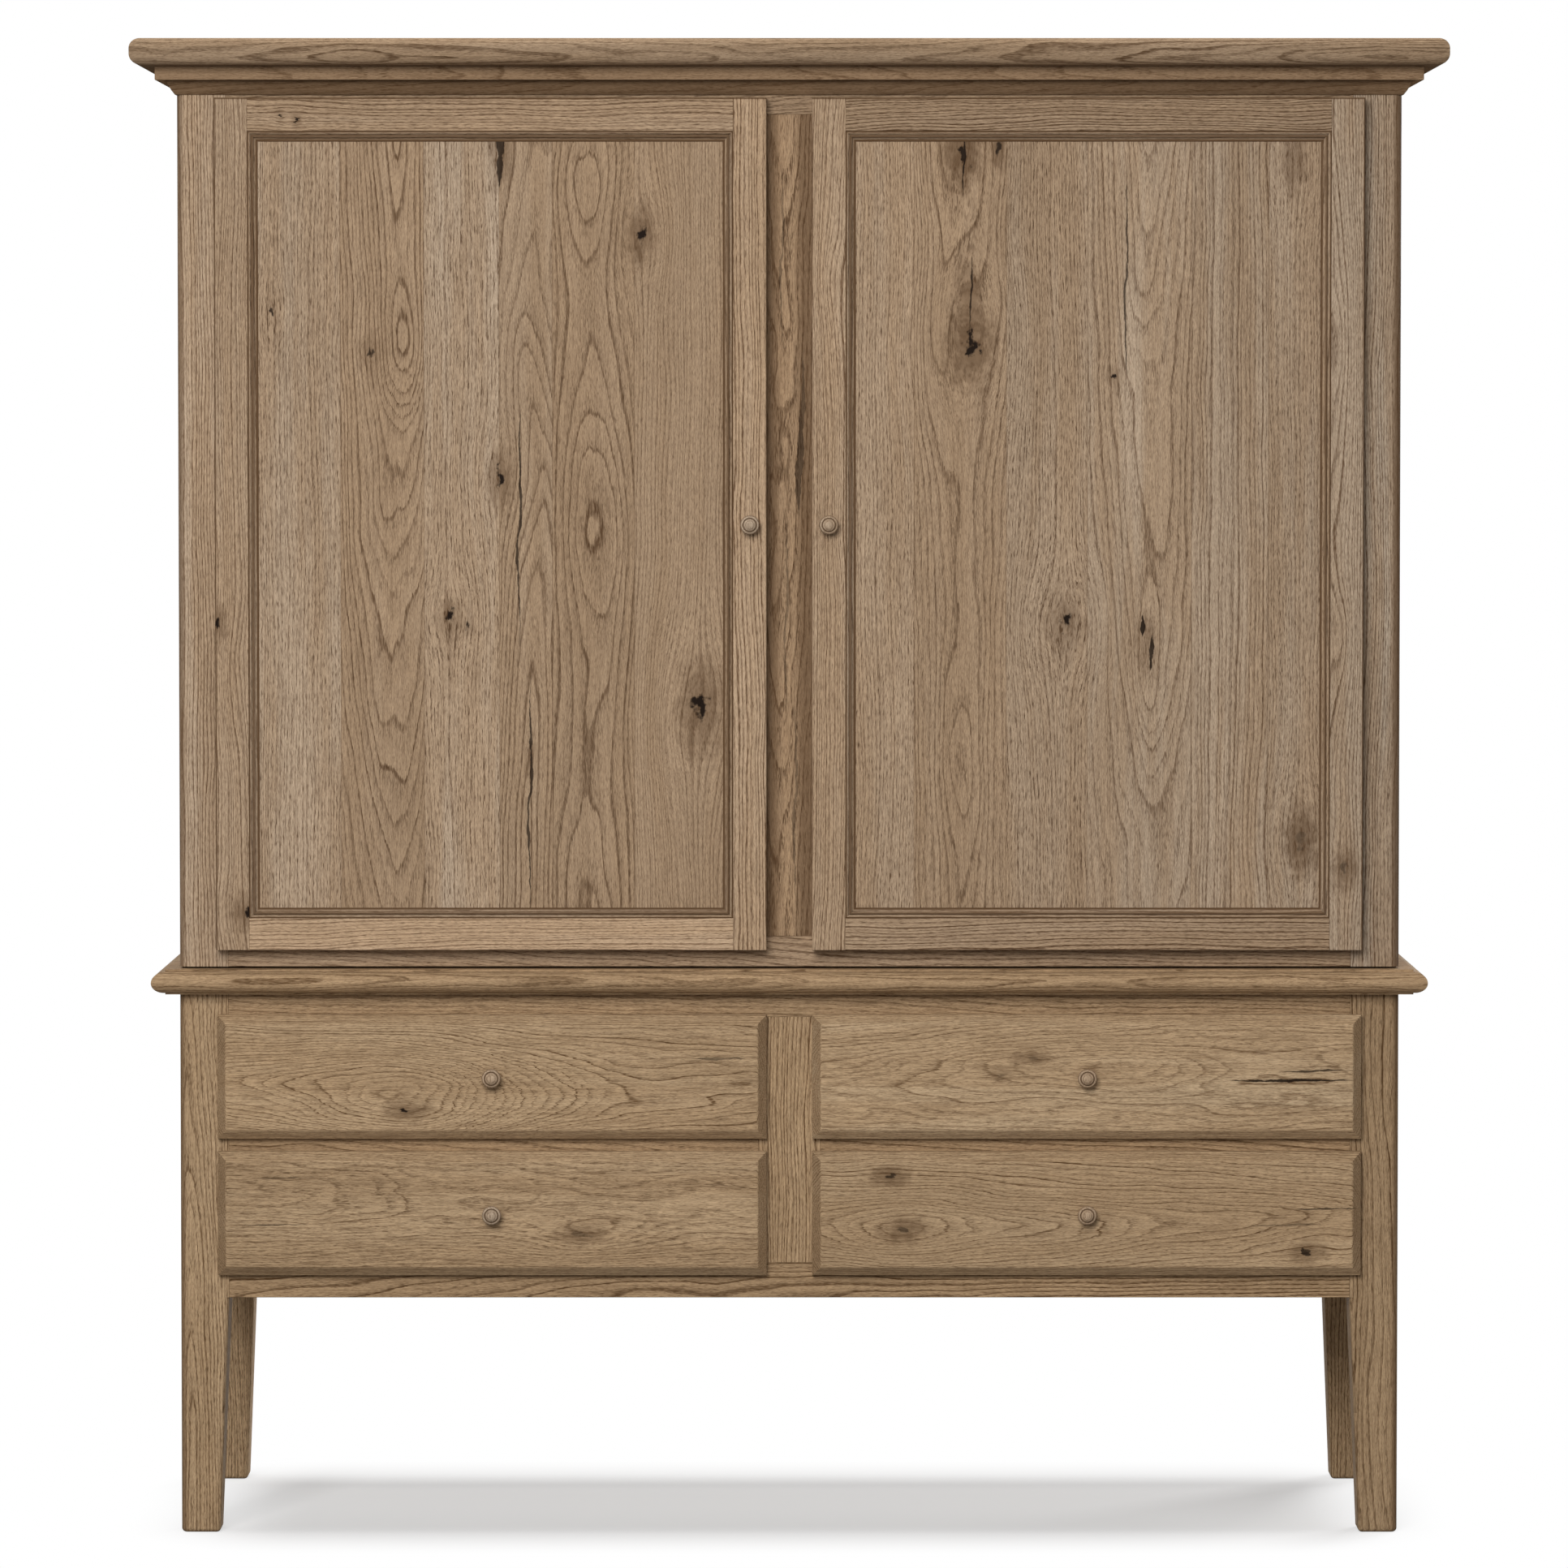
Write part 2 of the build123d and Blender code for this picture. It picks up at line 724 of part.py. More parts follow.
# Drawers: a bevelled front on a box that slides on the runners
def drawer(name, side, front_bottom, box_bottom):
    knob_x = side * (door_inner + door_outer) / 2
    knob_z = front_bottom + drawer_height / 2
    low = box_bottom + box_lift
    high = low + box_high
    inner_y = (drawer_back + box_wall, box_end - box_wall)
    bottom_span = (low + bottom_height, low + bottom_height + bottom_thick)
    groove = (bottom_span[0] - joint_gap, bottom_span[1] + joint_gap)

    with BuildPart() as front:
        block(
            (side * door_inner, side * door_outer),
            (drawer_face, drawer_back),
            (front_bottom, front_bottom + drawer_height),
        )
        chamfer(front.faces().sort_by(Axis.Y)[0].edges(), bevel)
        fillet(front.faces().sort_by(Axis.Y)[0].edges(), bevel_soft)
        knob_hole(knob_x, drawer_face, knob_z)
    save(front, f"{name}_front")

    with BuildPart() as sides:
        for outer, inward in ((box_inner, 1), (box_outer, -1)):
            inner = outer + inward * box_wall
            block((side * outer, side * inner), (drawer_back, box_end), (low, high))
            block(
                (side * (inner - inward * bottom_entry), side * inner),
                (drawer_back + box_wall - bottom_entry, box_end - box_wall + bottom_entry),
                groove,
                Mode.SUBTRACT,
            )
    save(sides, f"{name}_sides")

    with BuildPart() as ends:
        for outer, inner, inward in ((drawer_back, inner_y[0], 1), (box_end, inner_y[1], -1)):
            block((side * (box_inner + box_wall), side * (box_outer - box_wall)), (outer, inner), (low, high))
            block(
                (side * (box_inner + box_wall), side * (box_outer - box_wall)),
                (inner - inward * bottom_entry, inner),
                groove,
                Mode.SUBTRACT,
            )
    save(ends, f"{name}_box_ends")

    entry = bottom_entry - bottom_play
    with BuildPart() as bottom:
        block(
            (side * (box_inner + box_wall - entry), side * (box_outer - box_wall + entry)),
            (inner_y[0] - entry, inner_y[1] + entry),
            bottom_span,
        )
    save(bottom, f"{name}_bottom")

    knob(f"{name}_knob", knob_x, drawer_face, knob_z)


drawer("upper_left_drawer", -1, upper_drawer_bottom, middle_top)
drawer("upper_right_drawer", 1, upper_drawer_bottom, middle_top)
drawer("lower_left_drawer", -1, lower_drawer_bottom, apron_top)
drawer("lower_right_drawer", 1, lower_drawer_bottom, apron_top)
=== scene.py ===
import math
import random

import bmesh
import bpy
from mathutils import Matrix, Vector


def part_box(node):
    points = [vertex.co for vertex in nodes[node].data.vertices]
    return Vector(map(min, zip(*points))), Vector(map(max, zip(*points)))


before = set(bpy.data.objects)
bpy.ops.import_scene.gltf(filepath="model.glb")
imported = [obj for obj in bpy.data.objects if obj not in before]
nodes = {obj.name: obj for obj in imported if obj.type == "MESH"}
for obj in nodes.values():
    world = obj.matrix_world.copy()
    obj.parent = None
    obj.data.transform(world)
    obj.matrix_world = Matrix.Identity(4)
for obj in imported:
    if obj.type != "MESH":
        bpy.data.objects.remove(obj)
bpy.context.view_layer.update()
print("frame loaded:", len(nodes), "nodes")


def linear(hexColour):  # sRGB hex to linear RGBA
    parts = [int(hexColour[i:i + 2], 16) / 255 for i in (1, 3, 5)]
    return [c / 12.92 if c <= 0.04045 else ((c + 0.055) / 1.055) ** 2.4 for c in parts] + [1.0]


def add(tree, kind, inputs=None, **settings):  # one node, its settings, its inputs as values or links
    made = tree.nodes.new(kind if kind.startswith("Node") else "ShaderNode" + kind)
    for name, value in settings.items():
        setattr(made, name, value)
    for key, value in (inputs or {}).items():
        if isinstance(value, bpy.types.NodeSocket):
            tree.links.new(value, made.inputs[key])
        else:
            made.inputs[key].default_value = value
    return made.outputs


def newGroup(name, given, wanted):  # a shader group and its sockets
    tree = bpy.data.node_groups.new(name, "ShaderNodeTree")
    for way, sockets in (("INPUT", given), ("OUTPUT", wanted)):
        for label, kind in sockets.items():
            tree.interface.new_socket(label, in_out=way, socket_type="NodeSocket" + kind)
    return tree, add(tree, "NodeGroupInput")


def emptyTree(owner):  # the cleared node tree of a material or the world
    owner.use_nodes = True
    owner.node_tree.nodes.clear()
    return owner.node_tree


# Oak, wire brushed, then toned a greyed brown. Brushing wears the soft early wood back, so each year's ring
# reads as a thin dark line with a sharp edge, broken into short dashes along the fibre, and the harder
# late wood between stays smooth and paler. The finish is close to matt. Scales are waves per metre across the
# grain, into the board and along the grain.
brushedOak = {
    "warm": "#b49778",
    "grey": "#bca993",
    "line": "#634a34",
    "pore": "#533c29",
    # halo: round a knot; also the colour of end grain, glue lines and the painted shade lines
    "halo": "#5e452e",
    "core": "#1b110a",
    "endDepth": 0.50,  # end grain drinks more stain
    "endFacing": (0.35, 0.85),  # how squarely a face has to look along the grain to be end grain
    "seamHalf": 0.0006,  # half width of the glue line between two boards, metres
    "seamDepth": 0.35,
    "wander": 0.045,  # how far the rings drift, metres
    "wanderScale": (7.0, 7.0, 1.7),  # 140 by 590 mm
    "toneWander": 8.0,
    "ripple": 0.0016,
    "rippleScale": (85.0, 85.0, 10.0),  # 12 by 100 mm
    "ringVary": 1.3,  # rings lie closer and wider apart from one 13 mm to the next
    "ringVaryScale": 75.0,
    "lineWidth": (0.10, 0.22),  # share of a ring where the face cuts it flat, and where it cuts it square
    "lineSquare": (0.2, 0.9),  # how squarely, from flat to square
    "lineRise": 0.05,  # the line begins sharply and fades out over some of its width
    "lineFade": 1.9,
    "lineDepth": 0.92,
    "faintYear": 0.20,
    "breakScale": (760.0, 760.0, 80.0),  # 1.3 by 12 mm
    "breakRange": (0.40, 0.60),
    "breakDepth": 0.65,
    "shadeDepth": 0.22,  # early wood darkens softly behind each line
    "poreScale": (1350.0, 1350.0, 95.0),  # real pores are 0.3 mm wide, drawn 0.7 by 10 mm so that they show
    "poreRange": (0.51, 0.66),
    "poreDepth": 0.76,
    "poreEarly": (0.30, 0.62),  # pores thin out past this share of the ring
    "poreLate": 0.30,
    "tickScale": (1400.0, 1400.0, 170.0),  # 0.7 by 6 mm
    "tickRange": (0.50, 0.68),
    "tickDepth": 0.50,
    "dashScale": (420.0, 420.0, 18.0),  # 2.4 by 56 mm
    "dashRange": (0.42, 0.70),
    "dashDepth": 0.26,
    "speckScale": (1250.0, 1250.0, 80.0),  # 0.8 by 12 mm
    "speck": 0.74,
    "streakScale": (30.0, 30.0, 1.8),  # 33 by 560 mm
    "streakTone": 0.27,
    "streakRange": (0.38, 0.64),
    "streakGrey": (0.28, 0.72),  # least and most share of the grey in a streak
    "roughness": 0.58,
    "roughLine": 0.08,  # brushed-out lines and pores are rougher
    "specular": 0.06,
    "relief": 0.0006,
    "reliefLine": 1.2,  # depth of a line and of a knot's core, to a pore's
    "reliefCore": 2.5,
    "reliefShare": -0.4,
    "bump": 0.6,
}

# The base: the same oak and brushing from a yellower batch.
baseBrushedOak = {
    **brushedOak,
    "warm": "#b79976",
    "grey": "#bda98c",
    "line": "#62482e",
    "pore": "#523a24",
    "dashDepth": 0.34,
    "streakTone": 0.36,
}

# The crown: the same oak, left dead flat, since its underside would otherwise mirror a white floor.
crownBrushedOak = {**brushedOak, "specular": 0.0}

# Oak inside the case: planed and oiled, so the same rings show fainter on a lighter, yellower board.
plainOak = {
    **brushedOak,
    "warm": "#b99a74",
    "grey": "#c2aa86",
    "line": "#97774f",
    "pore": "#84673f",
    "lineDepth": 0.55,
    "poreDepth": 0.45,
    "dashDepth": 0.20,
    "roughness": 0.46,
    "relief": 0.0002,
}

fibre = {
    "scale": (650.0, 650.0, 28.0),  # per metre: fibres near 1.5 mm wide and 36 mm long
    "push": 0.014,  # how far a fibre carries the ring's edge along the grain, metres
    "ragged": 70.0,  # torn edges of knots and cracks, near 14 mm
}


def fibreGroup():  # the edges of late wood are ragged along the fibre
    tree, given = newGroup("oakFibre", {"Place": "Vector"}, {"Place": "Vector", "Ragged": "Vector"})
    fine = add(tree, "VectorMath", {0: given["Place"], 1: fibre["scale"]}, operation="MULTIPLY")
    noise = add(tree, "TexNoise", {"Vector": fine[0], "Scale": 1.0, "Detail": 1.0})
    push = add(tree, "Math", {0: noise[0], 1: 0.5}, operation="SUBTRACT")
    push = add(tree, "Math", {0: push[0], 1: fibre["push"]}, operation="MULTIPLY")
    along = add(tree, "CombineXYZ", {"Z": push[0]})
    moved = add(tree, "VectorMath", {0: given["Place"], 1: along[0]}, operation="ADD")
    rough = add(tree, "TexNoise", {"Vector": given["Place"], "Scale": fibre["ragged"], "Detail": 3.0})
    ragged = add(tree, "VectorMath", {0: rough[1], 1: (0.5, 0.5, 0.5)}, operation="SUBTRACT")
    add(tree, "NodeGroupOutput", {0: moved[0], 1: ragged[0]})
    return tree


knotShape = {
    "torn": (0.9, 0.0, 0.9),  # how ragged the edge is, in half sizes
    "core": (0.23, 0.13),  # where the dark core begins and is full, in half sizes
    "halo": (1.05, 0.25),
}


def knotGroup():  # where a branch grew: the rings part round a dark, torn core
    tree, given = newGroup(
        "oakKnot",
        {
            "Place": "Vector", "Ragged": "Vector", "Centre": "Vector", "Half": "Vector",
            "Part": "Float", "Swell": "Float", "Dark": "Float", "Stain": "Float",
        },
        {"Part": "Float", "Swell": "Float", "Core": "Float", "Halo": "Float"},
    )
    away = add(tree, "VectorMath", {0: given["Place"], 1: given["Centre"]}, operation="SUBTRACT")
    scaled = add(tree, "VectorMath", {0: away[0], 1: given["Half"]}, operation="DIVIDE")
    flat = add(tree, "VectorMath", {0: scaled[0], 1: (1.0, 0.0, 1.0)}, operation="MULTIPLY")
    square = add(tree, "VectorMath", {0: flat[0], 1: flat[0]}, operation="DOT_PRODUCT")
    fall = add(tree, "Math", {0: square[1], 1: -0.5}, operation="MULTIPLY")
    fall = add(tree, "Math", {0: fall[0]}, operation="EXPONENT")
    side = add(tree, "SeparateXYZ", {0: flat[0]})
    part = add(tree, "Math", {0: side["X"], 1: fall[0]}, operation="MULTIPLY")
    part = add(tree, "Math", {0: part[0], 1: given["Part"]}, operation="MULTIPLY")
    swell = add(tree, "Math", {0: fall[0], 1: given["Swell"]}, operation="MULTIPLY")
    torn = {0: given["Ragged"], 1: knotShape["torn"], 2: flat[0]}
    torn = add(tree, "VectorMath", torn, operation="MULTIPLY_ADD")
    reach = add(tree, "VectorMath", {0: torn[0]}, operation="LENGTH")
    begins, full = knotShape["core"]
    core = add(tree, "MapRange", {0: reach[1], 1: begins, 2: full, 3: 0.0, 4: given["Dark"]})
    begins, full = knotShape["halo"]
    halo = {0: reach[1], 1: begins, 2: full, 3: 0.0, 4: given["Stain"]}
    halo = add(tree, "MapRange", halo, interpolation_type="SMOOTHSTEP")
    add(tree, "NodeGroupOutput", {0: part[0], 1: swell[0], 2: core[0], 3: halo[0]})
    return tree


crackShape = {
    "bend": 8.0,  # millimetres to either side, where a crack has no bend of its own
    "bendScale": 9.0,  # bends per metre
    "jitter": 0.004,  # small kinks, metres
    "widthVary": 2.2,  # how much the width changes along the crack
    "soft": 0.0007,  # the crack's edge fades over this, metres
}


def crackGroup():  # a drying crack: a thin dark line that follows the fibre and tapers to both ends
    tree, given = newGroup(
        "oakCrack",
        {
            "Place": "Vector", "Ragged": "Vector", "Centre": "Vector",
            "Reach": "Float", "Width": "Float", "Bend": "Float", "Dark": "Float",
        },
        {"Core": "Float"},
    )
    away = add(tree, "VectorMath", {0: given["Place"], 1: given["Centre"]}, operation="SUBTRACT")
    at = add(tree, "SeparateXYZ", {0: away[0]})
    bend = {"W": at["Z"], "Scale": crackShape["bendScale"], "Detail": 3.0}
    bend = add(tree, "TexNoise", bend, noise_dimensions="1D")
    bend = add(tree, "Math", {0: bend[0], 1: 0.5}, operation="SUBTRACT")
    bend = add(tree, "Math", {0: bend[0], 1: given["Bend"]}, operation="MULTIPLY")
    rough = add(tree, "SeparateXYZ", {0: given["Ragged"]})
    bend = add(tree, "Math", {0: rough["Y"], 1: crackShape["jitter"], 2: bend[0]}, operation="MULTIPLY_ADD")
    side = add(tree, "Math", {0: at["X"], 1: bend[0]}, operation="SUBTRACT")
    side = add(tree, "Math", {0: side[0]}, operation="ABSOLUTE")
    far = add(tree, "Math", {0: at["Z"], 1: given["Reach"]}, operation="DIVIDE")
    far = add(tree, "Math", {0: far[0], 1: far[0]}, operation="MULTIPLY")
    slim = add(tree, "Math", {0: 1.0, 1: far[0]}, operation="SUBTRACT")
    slim = add(tree, "Math", {0: slim[0], 1: 0.0}, operation="MAXIMUM")
    vary = add(tree, "Math", {0: rough["X"], 1: crackShape["widthVary"], 2: 1.0}, operation="MULTIPLY_ADD")
    slim = add(tree, "Math", {0: slim[0], 1: vary[0]}, operation="MULTIPLY")
    slim = add(tree, "Math", {0: slim[0], 1: given["Width"]}, operation="MULTIPLY")
    inside = add(tree, "Math", {0: slim[0], 1: side[0]}, operation="SUBTRACT")
    core = add(tree, "MapRange", {0: inside[0], 1: 0.0, 2: crackShape["soft"], 3: 0.0, 4: given["Dark"]})
    add(tree, "NodeGroupOutput", {0: core[0]})
    return tree


def figureGroup(name, oak):
    tree, given = newGroup(
        name,
        {
            "Place": "Vector",  # metres: across the grain, into the board, along the grain
            "Seed": "Vector",
            "Pith": "Vector",  # across, depth, and drift of the depth along the board
            "Ring": "Float", "Swell": "Float", "Tone": "Float", "Grey": "Float",
            "Mark": "Float", "Pores": "Float", "Halo": "Float", "Core": "Float",
        },
        {"Color": "Color", "Roughness": "Float", "Height": "Float"},
    )
    sample = add(tree, "VectorMath", {0: given["Place"], 1: given["Seed"]}, operation="ADD")[0]
    place = add(tree, "SeparateXYZ", {0: given["Place"]})
    pith = add(tree, "SeparateXYZ", {0: given["Pith"]})

    # growth rings: distance from a pith that drifts along the board
    slow = add(tree, "VectorMath", {0: sample, 1: oak["wanderScale"]}, operation="MULTIPLY")
    slow = add(tree, "TexNoise", {"Vector": slow[0], "Scale": 1.0, "Detail": 3.0, "Roughness": 0.55})
    slow = add(tree, "VectorMath", {0: slow[1], 1: (0.5, 0.5, 0.5)}, operation="SUBTRACT")
    slow = add(tree, "VectorMath", {0: slow[0], "Scale": oak["wander"]}, operation="SCALE")
    slow = add(tree, "SeparateXYZ", {0: slow[0]})
    across = add(tree, "Math", {0: place["X"], 1: pith["X"]}, operation="SUBTRACT")
    across = add(tree, "Math", {0: across[0], 1: slow["X"]}, operation="ADD")
    deep = add(tree, "Math", {0: place["Z"], 1: pith["Z"], 2: pith["Y"]}, operation="MULTIPLY_ADD")
    deep = add(tree, "Math", {0: deep[0], 1: place["Y"]}, operation="ADD")
    deep = add(tree, "Math", {0: deep[0], 1: slow["Y"]}, operation="ADD")
    radius = add(tree, "CombineXYZ", {0: across[0], 1: deep[0]})
    radius = add(tree, "VectorMath", {0: radius[0]}, operation="LENGTH")
    radius = add(tree, "Math", {0: radius[1], 1: given["Swell"]}, operation="ADD")
    ripple = add(tree, "VectorMath", {0: sample, 1: oak["rippleScale"]}, operation="MULTIPLY")
    ripple = add(tree, "TexNoise", {"Vector": ripple[0], "Scale": 1.0, "Detail": 1.0})
    ripple = add(tree, "Math", {0: ripple[0], 1: 0.5}, operation="SUBTRACT")
    radius = add(tree, "Math", {0: ripple[0], 1: oak["ripple"], 2: radius[0]}, operation="MULTIPLY_ADD")
    vary = {"W": radius[0], "Scale": oak["ringVaryScale"], "Detail": 1.0}
    vary = add(tree, "TexNoise", vary, noise_dimensions="1D")
    vary = add(tree, "Math", {0: vary[0], 1: oak["ringVary"]}, operation="MULTIPLY")
    count = add(tree, "Math", {0: radius[0], 1: given["Ring"]}, operation="DIVIDE")
    count = add(tree, "Math", {0: count[0], 1: vary[0]}, operation="ADD")
    whole = add(tree, "Math", {0: count[0]}, operation="FLOOR")
    part = add(tree, "Math", {0: count[0]}, operation="FRACT")
    year = add(tree, "TexWhiteNoise", {"W": whole[0]}, noise_dimensions="1D")
    year = add(tree, "MapRange", {0: year[0], 1: 0.0, 2: 1.0, 3: oak["faintYear"], 4: 1.0})
    year = add(tree, "Math", {0: year[0], 1: given["Mark"]}, operation="MULTIPLY")
    square = add(tree, "Math", {0: across[0]}, operation="ABSOLUTE")
    square = add(tree, "Math", {0: square[0], 1: radius[0]}, operation="DIVIDE")
    (flatCut, squareCut), (narrow, wide) = oak["lineSquare"], oak["lineWidth"]
    width = add(tree, "MapRange", {0: square[0], 1: flatCut, 2: squareCut, 3: narrow, 4: wide})
    ends = add(tree, "Math", {0: width[0], 1: oak["lineFade"]}, operation="MULTIPLY")
    rise = add(tree, "MapRange", {0: part[0], 1: 0.0, 2: oak["lineRise"], 3: 0.0, 4: 1.0})
    fade = {0: part[0], 1: width[0], 2: ends[0], 3: 1.0, 4: 0.0}
    fade = add(tree, "MapRange", fade, interpolation_type="SMOOTHSTEP")
    line = add(tree, "Math", {0: rise[0], 1: fade[0]}, operation="MULTIPLY")
    line = add(tree, "Math", {0: line[0], 1: year[0]}, operation="MULTIPLY")
    late = add(tree, "Math", {0: 1.0, 1: part[0]}, operation="SUBTRACT")
    shade = add(tree, "Math", {0: late[0], 1: year[0]}, operation="MULTIPLY")
    shade = add(tree, "Math", {0: shade[0], 1: late[0]}, operation="MULTIPLY")

    # pores: short dashes along the fibre break the lines up and lie between them
    marks = {}
    for kind in ("break", "pore", "dash", "tick"):
        fine = add(tree, "VectorMath", {0: sample, 1: oak[kind + "Scale"]}, operation="MULTIPLY")
        fine = add(tree, "TexNoise", {"Vector": fine[0], "Scale": 1.0, "Detail": 1.0})
        low, high = oak[kind + "Range"]
        marks[kind] = add(tree, "MapRange", {0: fine[0], 1: low, 2: high, 3: 0.0, 4: 1.0})[0]
    broken = add(tree, "MapRange", {0: marks["break"], 3: 1.0 - oak["breakDepth"], 4: 1.0})
    line = add(tree, "Math", {0: line[0], 1: broken[0]}, operation="MULTIPLY")
    begins, full = oak["poreEarly"]
    inEarly = add(tree, "MapRange", {0: part[0], 1: begins, 2: full, 3: 1.0, 4: oak["poreLate"]})
    pore = add(tree, "Math", {0: marks["pore"], 1: inEarly[0]}, operation="MULTIPLY")
    pore = add(tree, "Math", {0: pore[0], 1: given["Pores"]}, operation="MULTIPLY")[0]

    # colour: greyer streaks in the warm wood, then every mark, then stain with its painted shade lines, and
    # knots
    streak = add(tree, "VectorMath", {0: sample, 1: oak["streakScale"]}, operation="MULTIPLY")
    streak = add(tree, "TexNoise", {"Vector": streak[0], "Scale": 1.0, "Detail": 3.0})
    half = oak["streakTone"] / 2
    band = add(tree, "MapRange", {0: streak[0], 3: 1.0 - half, 4: 1.0 + half})
    (low, high), (least, most) = oak["streakRange"], oak["streakGrey"]
    streak = {0: streak[0], 1: low, 2: high, 3: least, 4: most}
    streak = add(tree, "MapRange", streak, interpolation_type="SMOOTHSTEP")
    grey = add(tree, "Math", {0: streak[0], 1: given["Grey"]}, operation="MULTIPLY")
    body = {0: grey[0], 6: linear(oak["warm"]), 7: linear(oak["grey"])}
    body = add(tree, "Mix", body, data_type="RGBA", clamp_factor=False)
    for mark, depth, colour in (
        (shade[0], oak["shadeDepth"], oak["line"]),
        (marks["dash"], oak["dashDepth"], oak["line"]),
        (line[0], oak["lineDepth"], oak["line"]),
        (marks["tick"], oak["tickDepth"], oak["line"]),
        (pore, oak["poreDepth"], oak["pore"]),
    ):
        amount = add(tree, "Math", {0: mark, 1: depth}, operation="MULTIPLY")
        body = add(tree, "Mix", {0: amount[0], 6: body[2], 7: linear(colour)}, data_type="RGBA")
    patch = add(tree, "Math", {0: slow["Z"], 1: oak["toneWander"], 2: 1.0}, operation="MULTIPLY_ADD")
    patch = add(tree, "Math", {0: patch[0], 1: given["Tone"]}, operation="MULTIPLY")
    patch = add(tree, "Math", {0: patch[0], 1: band[0]}, operation="MULTIPLY")
    speck = add(tree, "VectorMath", {0: sample, 1: oak["speckScale"]}, operation="MULTIPLY")
    speck = add(tree, "TexNoise", {"Vector": speck[0], "Scale": 1.0, "Detail": 2.0})
    half = oak["speck"] / 2
    speck = add(tree, "MapRange", {0: speck[0], 3: 1.0 - half, 4: 1.0 + half})
    patch = add(tree, "Math", {0: patch[0], 1: speck[0]}, operation="MULTIPLY")
    body = add(tree, "VectorMath", {0: body[2], "Scale": patch[0]}, operation="SCALE")
    # Halo carries a knot's stained ring, the end-grain stain, the glue lines and the painted shade lines
    # along edges, in quirks and in grooves
    body = add(tree, "Mix", {0: given["Halo"], 6: body[0], 7: linear(oak["halo"])}, data_type="RGBA")
    body = add(tree, "Mix", {0: given["Core"], 6: body[2], 7: linear(oak["core"])}, data_type="RGBA")

    worn = add(tree, "Math", {0: line[0], 1: oak["reliefLine"], 2: pore}, operation="MULTIPLY_ADD")
    height = add(tree, "Math", {0: given["Core"], 1: oak["reliefCore"], 2: worn[0]}, operation="MULTIPLY_ADD")
    height = add(tree, "Math", {0: height[0], 1: oak["reliefShare"]}, operation="MULTIPLY")
    rough = {0: worn[0], 1: oak["roughLine"], 2: oak["roughness"]}
    rough = add(tree, "Math", rough, operation="MULTIPLY_ADD")
    add(tree, "NodeGroupOutput", {0: body[2], 1: rough[0], 2: height[0]})
    return tree


oakFibre = fibreGroup()
oakKnot = knotGroup()
oakCrack = crackGroup()
figures = {
    "brushed": (figureGroup("brushedOakFigure", brushedOak), brushedOak),
    "brushed base": (figureGroup("baseOakFigure", baseBrushedOak), baseBrushedOak),
    "brushed crown": (figureGroup("crownOakFigure", crownBrushedOak), crownBrushedOak),
    "plain": (figureGroup("plainOakFigure", plainOak), plainOak),
}
print("oak groups made:", len(bpy.data.node_groups))

grainAxes = {  # part axes taken as across the grain, into the board and along the grain
    "upright": "XYZ",
    "level": "ZYX",
    "uprightSide": "YXZ",
    "flat": "YZX",
    "deepRun": "ZXY",
}
caseApart = 0.2  # metres; boards of one node further apart than this lie on two sides of the case
shadeFull = 0.4  # share of a painted shade line's reach over which it is at its full strength

boardRanges = {  # a board is drawn from these, in millimetres; drift in millimetres per metre
    "pith": (10, 80),
    "depth": (25, 70),
    "drift": (10, 50),
    "ring": (3.8, 5.2),
    "tone": (0.95, 1.04),
    "grey": (0.2, 0.8),
    "mark": (0.9, 1.3),
    "pores": (0.8, 1.1),
}
eitherWay = ("pith", "depth", "drift")
seedReach = 40  # metres; two boards are cut this far apart at most
middleGrey = 0.5  # of that range, taken off where a piece has a greyness of its own


def board(seed, **chosen):
    draw = random.Random(seed)
    made = {"edge": None}
    for label, (least, most) in boardRanges.items():
        side = draw.choice((-1, 1)) if label in eitherWay else 1
        made[label] = side * draw.uniform(least, most)
    made["seed"] = [draw.uniform(0, seedReach) for _ in range(3)]
    made.update(chosen)
    return made


def middle(name):
    low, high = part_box(name)
    return (low + high) / 2


def onBoard(at, centre, order):  # a place on the front, in millimetres, turned to the board's own axes
    moved = (at[0] / 1000 - centre[0], 0.0, at[1] / 1000 - centre[2])
    return [moved[k] for k in order]


def dress(name, material):
    slots = nodes[name].data.materials
    slots.clear()
    slots.append(material)


